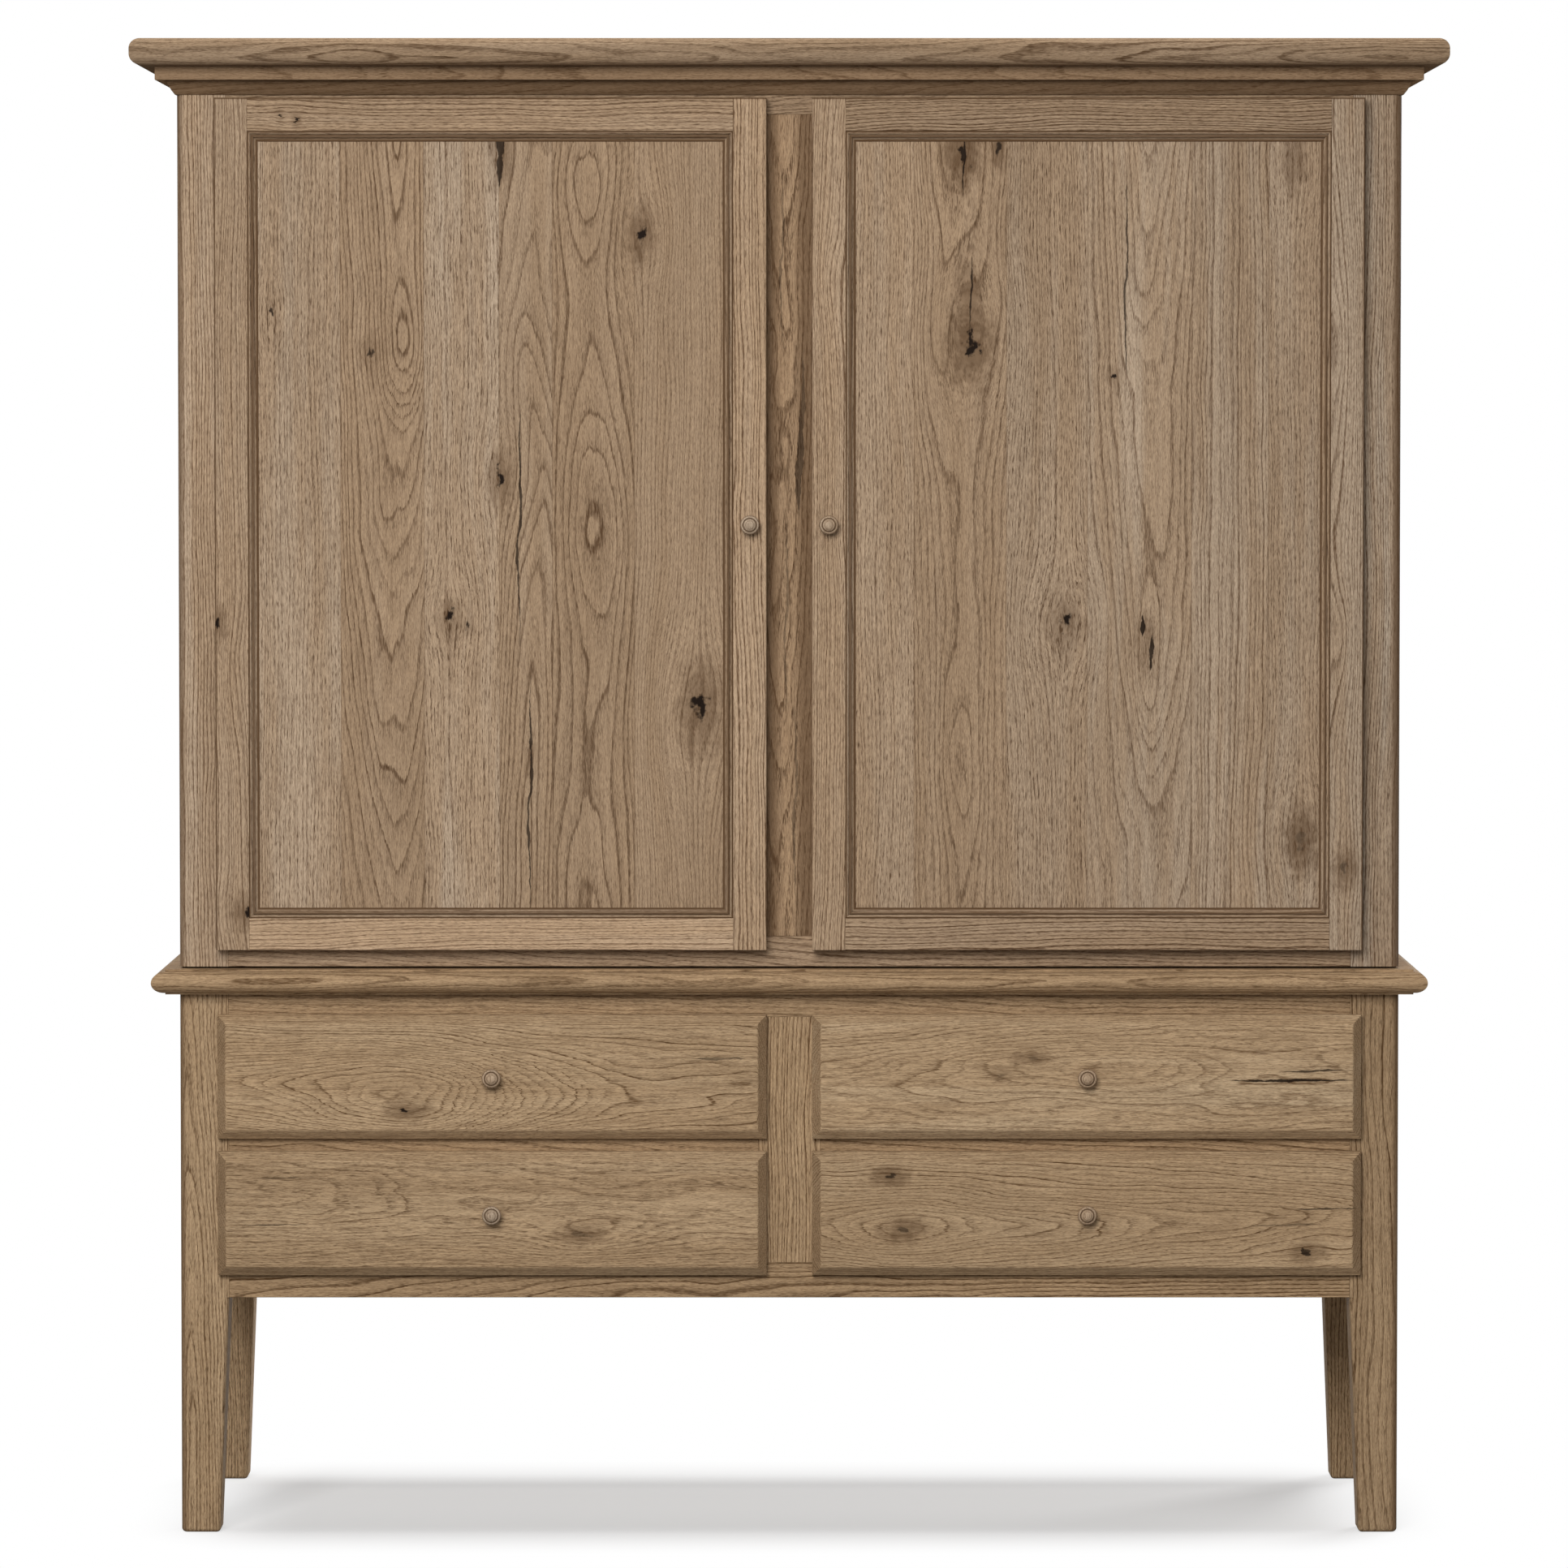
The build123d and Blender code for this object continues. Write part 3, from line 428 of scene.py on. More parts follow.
def oakMaterial(name, finish, grain, boards, knots=(), cracks=(), shadedEdges=(), grooves=(), mitre=None):
    figure, oak = figures[finish]
    material = bpy.data.materials.new(finish + " oak " + name)
    tree = emptyTree(material)
    centre = middle(name)
    coords = add(tree, "TexCoord")
    here = add(tree, "Mapping", {"Vector": coords["Object"], "Location": [-c for c in centre]})
    here = add(tree, "SeparateXYZ", {0: here[0]})
    order = ["XYZ".index(axis) for axis in grainAxes[grain]]
    low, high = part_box(name)
    deep = here[order[1]]
    apart = high[order[1]] - low[order[1]]
    if apart > caseApart:  # boards that face each other across the case: each is as deep as it is thick
        deep = add(tree, "Math", {0: deep}, operation="ABSOLUTE")[0]
        deep = add(tree, "Math", {0: deep, 1: apart / 2}, operation="SUBTRACT")[0]
    place = add(tree, "CombineXYZ", {0: here[order[0]], 1: deep, 2: here[order[2]]})[0]
    if mitre:  # lengths that meet at 45 degrees: past the mitre the grain turns
        turned = ["XYZ".index(axis) for axis in grainAxes[mitre["turned"]]]
        other = add(tree, "CombineXYZ", {i: here[k] for i, k in enumerate(turned)})[0]
        reach = []
        for axis, half in zip(mitre["axes"], mitre["half"]):
            far = add(tree, "Math", {0: here[axis]}, operation="ABSOLUTE")
            reach.append(add(tree, "Math", {0: far[0], 1: half}, operation="SUBTRACT")[0])
        past = add(tree, "Math", {0: reach[0], 1: reach[1]}, operation="GREATER_THAN")
        place = add(tree, "Mix", {0: past[0], 4: place, 5: other}, data_type="VECTOR")[1]
        rim = add(tree, "Math", {0: reach[0], 1: reach[1]}, operation="MAXIMUM")[0]
    grained = add(tree, "Group", {"Place": place}, node_tree=oakFibre)

    values, seam = None, None  # past each joint the next board's values take over
    across = here[order[0]]
    for plank in boards:
        new = [
            plank["seed"],
            [plank["pith"] / 1000, plank["depth"] / 1000, plank["drift"] / 1000],
            [plank["ring"] / 1000, plank["tone"], plank["grey"]],
            [plank["mark"], plank["pores"], 0.0],
        ]
        if values is None:
            values = [add(tree, "CombineXYZ", dict(enumerate(v)))[0] for v in new]
            continue
        past = add(tree, "Math", {0: across, 1: plank["edge"] / 1000}, operation="GREATER_THAN")
        values = [
            add(tree, "Mix", {0: past[0], 4: old, 5: v}, data_type="VECTOR")[1] for old, v in zip(values, new)
        ]
        gap = {0: across, 1: plank["edge"] / 1000, 2: oak["seamHalf"]}  # the glue line
        gap = add(tree, "Math", gap, operation="COMPARE")[0]
        seam = gap if seam is None else add(tree, "Math", {0: seam, 1: gap}, operation="MAXIMUM")[0]
    kind = add(tree, "SeparateXYZ", {0: values[2]})
    marking = add(tree, "SeparateXYZ", {0: values[3]})

    facing = add(tree, "SeparateXYZ", {0: coords["Normal"]})
    ends = add(tree, "Math", {0: facing[order[2]]}, operation="ABSOLUTE")
    askew, square = oak["endFacing"]
    stain = add(tree, "MapRange", {0: ends[0], 1: askew, 2: square, 3: 0.0, 4: oak["endDepth"]})[0]
    if seam is not None:
        stain = add(tree, "Math", {0: seam, 1: oak["seamDepth"], 2: stain}, operation="MULTIPLY_ADD")[0]
    lines = []  # painted shade lines: darker along an edge or a gap, in a quirk or in a turned groove, where shadow falls
    for axis, at, wide, dark in shadedEdges:
        k = "XYZ".index(axis)
        lines.append((here[k], at / 1000 - centre[k], wide, dark))
    if mitre:
        lines += [(rim, -inward / 1000, wide, dark) for inward, wide, dark in mitre["shadedQuirks"]]
    if grooves:
        flat = add(tree, "CombineXYZ", {0: here["X"], 2: here["Z"]})
        out = add(tree, "VectorMath", {0: flat[0]}, operation="LENGTH")[1]
        lines += [(out, at / 1000, wide, dark) for at, wide, dark in grooves]
    # each line is painted shade, darkest at its place and fading over its reach; it joins the end-grain stain
    # and glue lines in stain
    for reading, at, wide, dark in lines:
        near = add(tree, "Math", {0: reading, 1: at}, operation="SUBTRACT")
        near = add(tree, "Math", {0: near[0]}, operation="ABSOLUTE")
        near = {0: near[0], 1: wide / 1000, 2: wide / 1000 * shadeFull, 3: 0.0, 4: dark}
        near = add(tree, "MapRange", near, interpolation_type="SMOOTHSTEP")
        stain = add(tree, "Math", {0: near[0], 1: stain}, operation="MAXIMUM")[0]

    marks = []
    for knot in knots:
        half = (knot["half"][0] / 1000, 1.0, knot["half"][1] / 1000)
        sockets = {
            "Place": grained["Place"],
            "Ragged": grained["Ragged"],
            "Centre": onBoard(knot["at"], centre, order),
            "Half": [half[k] for k in order],
            "Part": knot.get("part", 0) / 1000,
            "Swell": knot.get("swell", 0) / 1000,
            "Dark": knot.get("dark", 0.0),
            "Stain": knot.get("stain", 0.0),
        }
        marks.append(add(tree, "Group", sockets, node_tree=oakKnot))
    for crack in cracks:
        sockets = {
            "Place": place,
            "Ragged": grained["Ragged"],
            "Centre": onBoard(crack["at"], centre, order),
            "Reach": crack["reach"] / 1000,
            "Width": crack["width"] / 1000,
            "Bend": crack.get("bend", crackShape["bend"]) / 1000,
            "Dark": crack["dark"],
        }
        marks.append(add(tree, "Group", sockets, node_tree=oakCrack))
    totals = {"Part": None, "Swell": None, "Core": None, "Halo": stain}
    for mark in marks:
        for label, way in (("Part", "ADD"), ("Swell", "ADD"), ("Core", "MAXIMUM"), ("Halo", "MAXIMUM")):
            if label not in mark:
                continue
            both = mark[label]
            if totals[label] is not None:
                both = add(tree, "Math", {0: totals[label], 1: both}, operation=way)[0]
            totals[label] = both
    spot = grained["Place"]
    if totals["Part"] is not None:
        push = add(tree, "CombineXYZ", {0: totals["Part"]})
        spot = add(tree, "VectorMath", {0: spot, 1: push[0]}, operation="SUBTRACT")[0]
    sockets = {
        "Place": spot, "Seed": values[0], "Pith": values[1],
        "Ring": kind["X"], "Tone": kind["Y"], "Grey": kind["Z"],
        "Mark": marking["X"], "Pores": marking["Y"],
        "Swell": totals["Swell"], "Halo": totals["Halo"], "Core": totals["Core"],
    }
    wood = add(tree, "Group", {k: v for k, v in sockets.items() if v is not None}, node_tree=figure)
    bump = add(tree, "Bump", {"Strength": oak["bump"], "Distance": oak["relief"], "Height": wood["Height"]})
    surface = {
        "Base Color": wood["Color"],
        "Roughness": wood["Roughness"],
        "Specular IOR Level": oak["specular"],
        "Normal": bump[0],
    }
    add(tree, "OutputMaterial", {0: add(tree, "BsdfPrincipled", surface)[0]})
    return material


# Door panels: edge-glued boards, their knots and cracks, in millimetres of the part frame. A knot parts the
# rings, and a swell without a core draws them out into a closed or pointed figure.
panels = {
    "left_door_panel": {
        "boards": [
            board("l1", pith=-900, depth=60, drift=10, ring=4.6,
                  tone=1.09, grey=0.9, mark=0.55, pores=1.2),
            board("l2", edge=-608, pith=-532, depth=55, drift=-75, ring=5.2,
                  tone=1.00, grey=0.3, mark=1.1, pores=0.8),
            board("l3", edge=-495, pith=-640, depth=60, drift=10, ring=4.4,
                  tone=1.13, grey=1.1, mark=0.5, pores=1.25),
            board("l4", edge=-393, pith=-352, depth=40, drift=65, ring=5.4,
                  tone=0.99, grey=0.4, mark=1.0, pores=0.8),
            board("l5", edge=-321, pith=-268, depth=66, drift=24, ring=7.6,
                  tone=0.95, grey=0.2, mark=1.25, pores=0.8),
            board("l6", edge=-210, pith=40, depth=50, drift=12, ring=4.6,
                  tone=0.98, grey=0.3, mark=0.8, pores=0.7),
        ],
        "knots": [
            {"at": (-700, 1664), "half": (16, 40), "part": 8, "dark": 0.9, "stain": 0.15},
            {"at": (-567, 1610), "half": (26, 40), "part": 10, "dark": 0.8, "stain": 0.3},
            {"at": (-522, 1614), "half": (22, 60), "swell": -26},
            {"at": (-391, 1876), "half": (24, 60), "part": 8, "stain": 0.5},
            {"at": (-276, 1834), "half": (36, 70), "swell": -18},
            {"at": (-202, 1767), "half": (30, 60), "part": 24, "dark": 1.0, "stain": 0.6},
            {"at": (-392, 1440), "half": (26, 60), "part": 16, "dark": 1.0, "stain": 0.5},
            {"at": (-270, 1375), "half": (36, 90), "swell": -20},
            {"at": (-460, 1253), "half": (26, 40), "part": 16, "dark": 1.0, "stain": 0.35},
            {"at": (-438, 1236), "half": (18, 22), "dark": 0.9, "stain": 0.2},
            {"at": (-121, 1129), "half": (46, 90), "part": 38, "dark": 1.0, "stain": 0.55},
        ],
        "cracks": [
            {"at": (-391, 1880), "reach": 50, "width": 5.0, "bend": 6, "dark": 0.85},
            {"at": (-366, 1370), "reach": 180, "width": 2.0, "bend": 16, "dark": 0.85},
            {"at": (-352, 1010), "reach": 180, "width": 2.0, "bend": 16, "dark": 0.85},
        ],
    },
    "right_door_panel": {
        "boards": [
            board("r1", pith=-160, depth=30, drift=8, ring=4.8,
                  tone=1.08, grey=0.6, mark=0.6, pores=1.15),
            board("r2", edge=169, pith=238, depth=44, drift=-26, ring=6.0,
                  tone=1.01, grey=0.3, mark=0.9, pores=0.9),
            board("r3", edge=294, pith=540, depth=40, drift=10, ring=4.4,
                  tone=1.03, grey=0.7, mark=0.55, pores=1.2),
            board("r4", edge=404, pith=489, depth=70, drift=-50, ring=5.6,
                  tone=1.03, grey=1.0, mark=0.8, pores=0.9),
            board("r5", edge=545, pith=760, depth=20, drift=6, ring=6.4,
                  tone=1.03, grey=1.0, mark=1.1, pores=0.9),
            board("r6", edge=649, pith=850, depth=30, drift=12, ring=4.6,
                  tone=1.0, grey=1.0, mark=0.6, pores=1.1),
        ],
        "knots": [
            {"at": (235, 1880), "half": (36, 70), "part": 26, "dark": 0.95, "stain": 0.75},
            {"at": (282, 1884), "half": (18, 40), "part": 6, "dark": 0.9, "stain": 0.6},
            {"at": (246, 1618), "half": (44, 80), "part": 34, "dark": 1.0, "stain": 0.65},
            {"at": (244, 1690), "half": (26, 70), "part": 12, "stain": 0.5},
            {"at": (373, 1242), "half": (38, 60), "part": 30, "dark": 1.0, "stain": 0.45},
            {"at": (485, 1215), "half": (24, 60), "part": 14, "stain": 0.35},
            {"at": (694, 950), "half": (34, 70), "part": 22, "dark": 0.4, "stain": 0.65},
            {"at": (682, 1866), "half": (26, 60), "part": 14, "stain": 0.5},
            {"at": (440, 1576), "half": (18, 20), "part": 4, "dark": 1.0, "stain": 0.3},
            {"at": (487, 1175), "half": (13, 80), "swell": -17},
            {"at": (236, 1050), "half": (20, 60), "swell": -14},
        ],
        "cracks": [
            {"at": (236, 1860), "reach": 50, "width": 1.6, "dark": 0.95},
            {"at": (246, 1690), "reach": 60, "width": 1.6, "dark": 0.9},
            {"at": (456, 1710), "reach": 165, "width": 1.6, "bend": 12, "dark": 0.8},
            {"at": (479, 1239), "reach": 16, "width": 3.0, "bend": 2, "dark": 0.95},
            {"at": (491, 1203), "reach": 26, "width": 3.2, "bend": 4, "dark": 0.9},
        ],
    },
}

# Drawer fronts: one board each, grain across
drawerFronts = {
    "upper_left_drawer_front": {
        "boards": [
            board("dul", pith=-10, depth=150, drift=24, ring=2.6, tone=1.12, grey=0.4, mark=1.5, pores=0.7),
        ],
        "knots": [
            {"at": (-530, 596), "half": (120, 52), "swell": -36},
            {"at": (-521, 580), "half": (46, 20), "part": 10, "dark": 1.0, "stain": 0.6},
        ],
        "cracks": [{"at": (-96, 651), "reach": 40, "width": 2.0, "bend": 2, "dark": 0.6}],
    },
    "upper_right_drawer_front": {
        "boards": [
            board("dur", pith=-10, depth=150, drift=-20, ring=2.8, tone=1.19, grey=0.7, mark=1.0, pores=0.8),
        ],
        "knots": [
            {"at": (400, 648), "half": (130, 22), "swell": -15},
            {"at": (329, 651), "half": (40, 14), "part": 5, "stain": 0.5, "dark": 0.3},
            {"at": (286, 628), "half": (30, 12), "part": 4, "stain": 0.4, "dark": 0.3},
        ],
        "cracks": [
            {"at": (681, 621), "reach": 95, "width": 2.0, "bend": 3, "dark": 0.95},
            {"at": (714, 634), "reach": 55, "width": 1.6, "bend": 6, "dark": 0.85},
        ],
    },
    "lower_left_drawer_front": {
        "boards": [
            board("dll", pith=30, depth=140, drift=14, ring=2.6, tone=1.07, grey=0.4, mark=0.8, pores=0.9),
        ],
        "knots": [
            {"at": (-262, 412), "half": (62, 22), "swell": -13},
            {"at": (-284, 411), "half": (50, 20), "part": 8, "dark": 0.4, "stain": 0.5},
        ],
        "cracks": [
            {"at": (-705, 424), "reach": 60, "width": 1.3, "bend": 3, "dark": 0.6},
            {"at": (-690, 488), "reach": 50, "width": 1.2, "bend": 3, "dark": 0.5},
        ],
    },
    "lower_right_drawer_front": {
        "boards": [
            board("dlr", pith=-16, depth=150, drift=26, ring=2.6, tone=1.09, grey=0.4, mark=1.5, pores=0.8),
        ],
        "knots": [
            {"at": (165, 417), "half": (80, 34), "swell": -20},
            {"at": (340, 420), "half": (95, 26), "swell": -12},
            {"at": (158, 417), "half": (44, 26), "part": 8, "dark": 0.6, "stain": 0.6},
            {"at": (136, 491), "half": (40, 20), "part": 8, "dark": 0.8, "stain": 0.6},
            {"at": (704, 387), "half": (36, 22), "part": 8, "dark": 0.9, "stain": 0.5},
        ],
        "cracks": [
            {"at": (728, 446), "reach": 48, "width": 1.5, "bend": 3, "dark": 0.8},
            {"at": (677, 424), "reach": 60, "width": 1.8, "bend": 5, "dark": 0.45},
        ],
    },
}
for finish, grain, group in (("brushed", "upright", panels), ("brushed base", "level", drawerFronts)):
    for name, wood in group.items():
        centre = middle(name)
        if grain == "upright":  # board places from the part frame to the panel's own middle
            for plank in wood["boards"]:
                plank["pith"] -= centre.x * 1000
                if plank["edge"] is not None:
                    plank["edge"] -= centre.x * 1000
        dress(name, oakMaterial(name, finish, grain, wood["boards"], wood["knots"], wood["cracks"]))
print("panels and drawer fronts dressed")

# Frame pieces and insides, one dictionary each. Painted shade lines, knots and cracks are in millimetres of
# the part frame.
upperOak = {"finish": "brushed", "tone": 1.03, "grey": 0.3}
baseOak = {"finish": "brushed base", "tone": 0.97, "grey": 0.1}
middleOak = {"finish": "brushed", "tone": 1.05, "grey": -0.2}
# the crown board is darker: partly a darker board, partly painted shade on its rounded nose
crownOak = {"finish": "brushed crown", "tone": 0.86, "grey": 0.1}
insideOak = {"finish": "plain", "tone": 1.0, "grey": 0.5}
turnedKnob = {
    "oak": upperOak,
    "grain": "upright",
    "own": {"mark": 0.3, "pores": 0.5, "ring": 3.0, "tone": 1.14, "grey": 1.3},  # in place of what was drawn
    "grooves": [(12.9, 1.4, 0.55), (9.0, 1.4, 0.8), (5.6, 0.9, 0.4)],  # radius, reach and strength of painted shade in each turned groove
}
frameBoards = {
    "front_left_leg": {
        "oak": baseOak, "grain": "upright",
        "tuned": [(1.08, 0.0)],  # tone and greyness of each board, the lower or left one first
        "shadedEdges": [("X", -830, 10, 0.55)],  # axis, place, reach and strength of painted shade along an edge
    },
    "front_right_leg": {
        "oak": baseOak, "grain": "upright",
        "tuned": [(1.02, 0.4)],
        "bold": 1.5,  # how strongly the rings are marked
        "shadedEdges": [("X", 830, 11, 0.6)],
    },
    # the rear left leg is lightened against the front leg's shadow: painted light
    "rear_left_leg": {"oak": baseOak, "grain": "upright", "tuned": [(1.48, 0.0)]},
    "rear_right_leg": {"oak": baseOak, "grain": "upright", "tuned": [(1.18, 0.0)]},
    "base_centre_stile": {"oak": baseOak, "grain": "upright", "tuned": [(1.12, 0.2)], "bold": 1.4},
    "base_bottom_rail": {"oak": baseOak, "grain": "level", "tuned": [(1.06, 0.0)], "bold": 1.4},
    "base_middle_rails": {"oak": baseOak, "grain": "level"},
    "base_top_rail": {"oak": baseOak, "grain": "level", "tuned": [(1.02, 0.0)]},
    "base_side_panels": {
        "oak": baseOak, "grain": "uprightSide",
        "joints": [-120, 5, 118],  # glue joints across the grain, from the middle of the piece
    },
    "waist_board": {"oak": baseOak, "grain": "flat", "joints": [-120, 10, 130], "tuned": [(1.08, 0.1)]},
    "centre_stile": {  # between the doors: painted shade at both sides of the recess the doors overhang, with dark torn streaks
        "oak": middleOak, "grain": "upright", "own": {"mark": 1.2, "pores": 1.3},
        "shadedEdges": [("X", -31, 24, 0.62), ("X", 31, 28, 0.6)],
        "cracks": [
            {"at": (14, 1460), "reach": 75, "width": 5.0, "bend": 10, "dark": 0.6},
            {"at": (18, 1530), "reach": 90, "width": 3.0, "bend": 8, "dark": 0.5},
            {"at": (-4, 1250), "reach": 160, "width": 2.0, "bend": 14, "dark": 0.45},
            {"at": (8, 1000), "reach": 150, "width": 2.4, "bend": 14, "dark": 0.45},
            {"at": (-10, 1740), "reach": 140, "width": 2.2, "bend": 12, "dark": 0.45},
        ],
    },
    # the case's rounded outer edges, here and on the front legs, are darker: painted shade where the rounding
    # turns from the light, partly patina
    "corner_stiles": {
        "oak": upperOak, "grain": "upright", "joints": [0], "tuned": [(1.17, 0.7), (1.03, 1.2)],
        "shadedEdges": [("X", -830, 11, 0.6), ("X", 830, 15, 0.75)],
    },
    # the doors' outer and top edges, here and on the door rails, carry painted shade: the dark gap lines
    # beside the corner stiles and under the crown
    "left_door_stiles": {
        "oak": upperOak, "grain": "upright", "joints": [0], "tuned": [(1.09, 0.0), (1.25, 0.0)], "bold": 1.2,
        "shadedEdges": [("X", -778, 2.6, 0.9), ("Z", 1953, 3.2, 0.85)],
        "knots": [
            {"at": (-736, 850), "half": (30, 34), "part": 10, "dark": 1.0, "stain": 0.6},
            {"at": (-773, 1243), "half": (16, 34), "part": 4, "dark": 1.0, "stain": 0.5},
            {"at": (-756, 1180), "half": (14, 90), "swell": -14},
        ],
    },
    "right_door_stiles": {
        "oak": upperOak, "grain": "upright", "joints": [0], "tuned": [(1.09, 0.4), (0.97, 0.6)], "bold": 1.3,
        "shadedEdges": [("X", 778, 2.6, 0.9), ("Z", 1953, 3.2, 0.85)],
        "knots": [
            {"at": (750, 1218), "half": (14, 62), "swell": -16},
            {"at": (752, 1590), "half": (16, 130), "swell": -13},
            {"at": (53, 1690), "half": (14, 80), "swell": -14},
            {"at": (754, 911), "half": (26, 44), "part": 8, "dark": 0.5, "stain": 0.55},
        ],
    },
    "left_door_rails": {
        "oak": upperOak, "grain": "level", "joints": [0], "tuned": [(1.40, 0.0), (1.08, 0.1)],
        "shadedEdges": [("Z", 1953, 3.2, 0.85)],
        "knots": [
            {"at": (-667, 1924), "half": (14, 16), "part": 4, "dark": 1.0, "stain": 0.4},
            {"at": (-687, 1929), "half": (12, 12), "part": 3, "dark": 0.9, "stain": 0.3},
        ],
    },
    # the top rail is darker than the bottom one: painted shade, as from light on the left
    "right_door_rails": {
        "oak": upperOak, "grain": "level", "joints": [0], "tuned": [(1.02, 0.0), (0.91, 0.1)], "bold": 1.7,
        "shadedEdges": [("Z", 1953, 3.2, 0.85)],
    },
    "left_door_knob": turnedKnob,
    "right_door_knob": turnedKnob,
    "upper_bottom_rail": {"oak": upperOak, "grain": "level"},
    # the head rail between the doors is darkened: painted shade under the crown
    "upper_top_rail": {"oak": upperOak, "grain": "level", "tuned": [(0.82, 0.0)]},
    "crown_board": {"oak": crownOak, "grain": "flat", "joints": [-110, 30, 150], "tuned": [(0.97, 0.0)]},
    "upper_side_panels": {"oak": upperOak, "grain": "uprightSide", "joints": [-140, -20, 105, 190]},
    "base_back_panel": {
        "oak": insideOak, "grain": "upright",
        "joints": [-600, -430, -290, -120, 30, 170, 330, 480, 640],
    },
    "upper_back_panel": {
        "oak": insideOak, "grain": "upright",
        "joints": [-640, -500, -330, -180, -40, 110, 260, 420, 560, 690],
    },
    "upper_floor": {"oak": insideOak, "grain": "flat", "joints": [-110, 20, 140]},
    "shelves": {"oak": insideOak, "grain": "flat", "joints": [-90, 40, 150]},
    "centre_partition": {"oak": insideOak, "grain": "uprightSide", "joints": [-120, 10, 120]},
    "drawer_divider": {"oak": insideOak, "grain": "deepRun", "joints": [0]},
    "drawer_runners": {"oak": insideOak, "grain": "deepRun"},
}
for drawer in ("upper_left", "upper_right", "lower_left", "lower_right"):
    frameBoards[drawer + "_drawer_sides"] = {"oak": insideOak, "grain": "deepRun"}
    frameBoards[drawer + "_drawer_box_ends"] = {"oak": insideOak, "grain": "level"}
    frameBoards[drawer + "_drawer_bottom"] = {"oak": insideOak, "grain": "flat", "joints": [-100, 60]}
    frameBoards[drawer + "_drawer_knob"] = turnedKnob
for name, piece in frameBoards.items():
    look, grain, joints = piece["oak"], piece["grain"], piece.get("joints", [])
    low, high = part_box(name)
    k = "XYZ".index(grainAxes[grain][0])
    half = (high[k] - low[k]) * 500
    edges = [-half, *joints, half]
    tuned = piece.get("tuned", [(1.0, 0.0)])
    planks = []
    for i in range(len(joints) + 1):
        plank = board(name + str(i), edge=edges[i])
        plank["pith"] += (edges[i] + edges[i + 1]) / 2
        tone, grey = tuned[min(i, len(tuned) - 1)]
        plank["tone"] *= look["tone"] * tone
        plank["grey"] += look["grey"] + grey - middleGrey
        plank["mark"] *= piece.get("bold", 1.0)
        plank.update(piece.get("own", {}))
        planks.append(plank)
    marks = {kind: piece[kind] for kind in ("knots", "cracks", "shadedEdges", "grooves") if kind in piece}
    dress(name, oakMaterial(name, look["finish"], grain, planks, **marks))

# Mitred lengths: the beads round the panels and the moulding under the crown. Painted shade lies in their
# quirks and over the bed moulding under the crown: way inward from the rim, reach and strength.
doorBead = {
    "finish": "brushed",
    "grain": "upright",
    "turned": "level",  # the grain past the mitre
    "axes": "ZX",
    "own": {},
    "shadedQuirks": [(0.0, 3.0, 0.95), (6.5, 2.4, 0.8), (13.5, 3.4, 0.95)],
}
mitredLengths = {
    "left_door_bead": doorBead,
    "right_door_bead": doorBead,
    "crown_mouldings": {
        "finish": "brushed crown",
        "grain": "deepRun",
        "turned": "level",
        "axes": "YX",
        # tone lifted against the crown's shadow on the band: painted light; the bed is darkened by its quirk
        # line: painted shade
        "own": {"tone": 1.17, "grey": 0.1, "mark": 0.8, "pores": 1.0},
        "shadedQuirks": [(20.0, 14.0, 0.68)],
    },
}
for name, piece in mitredLengths.items():
    low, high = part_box(name)
    half = [(high["XYZ".index(axis)] - low["XYZ".index(axis)]) / 2 for axis in piece["axes"]]
    planks = [board(name, **piece["own"])]
    dress(name, oakMaterial(name, piece["finish"], piece["grain"], planks, mitre={**piece, "half": half}))
print("oak dressed:", len(panels) + len(drawerFronts) + len(frameBoards) + len(mitredLengths), "nodes")

# Nickel-plated steel, drawn and lightly brushed: grey with soft streaks and a broad highlight
platedSteel = {
    "colour": "#b9b7b2",
    "worn": "#8f8d88",
    "roughness": 0.26,
    "streak": 0.12,
    "brushScale": (40.0, 1400.0, 1400.0),  # brush marks are finer than this, drawn near 0.7 mm to show
    "wearScale": 60.0,  # dull patches near 17 mm
    "wearRange": (0.45, 0.75),
    "wear": 0.7,
    "relief": 0.00004,
    "bump": 0.3,
}
steelPieces = (
    "hinge_arms", "left_door_hinge_cups", "right_door_hinge_cups",
    "hanging_rail", "rail_sockets", "shelf_pins",
)


def steelMaterial(steel):
    material = bpy.data.materials.new("brushed nickel-plated steel")
    tree = emptyTree(material)
    spot = add(tree, "TexCoord")["Object"]
    fine = add(tree, "VectorMath", {0: spot, 1: steel["brushScale"]}, operation="MULTIPLY")
    fine = add(tree, "TexNoise", {"Vector": fine[0], "Scale": 1.0, "Detail": 2.0})
    broad = add(tree, "TexNoise", {"Vector": spot, "Scale": steel["wearScale"], "Detail": 3.0})
    low, high = steel["wearRange"]
    dull = add(tree, "MapRange", {0: broad[0], 1: low, 2: high, 3: 0.0, 4: steel["wear"]})
    colour = {0: dull[0], 6: linear(steel["colour"]), 7: linear(steel["worn"])}
    colour = add(tree, "Mix", colour, data_type="RGBA")
    rough = {0: fine[0], 1: steel["streak"], 2: steel["roughness"]}
    rough = add(tree, "Math", rough, operation="MULTIPLY_ADD")
    bump = add(tree, "Bump", {"Strength": steel["bump"], "Distance": steel["relief"], "Height": fine[0]})
    surface = {"Base Color": colour[2], "Metallic": 1.0, "Roughness": rough[0], "Normal": bump[0]}
    add(tree, "OutputMaterial", {0: add(tree, "BsdfPrincipled", surface)[0]})
    return material


steelCoat = steelMaterial(platedSteel)
for name in steelPieces:
    dress(name, steelCoat)
print("steel dressed:", len(steelPieces), "nodes")

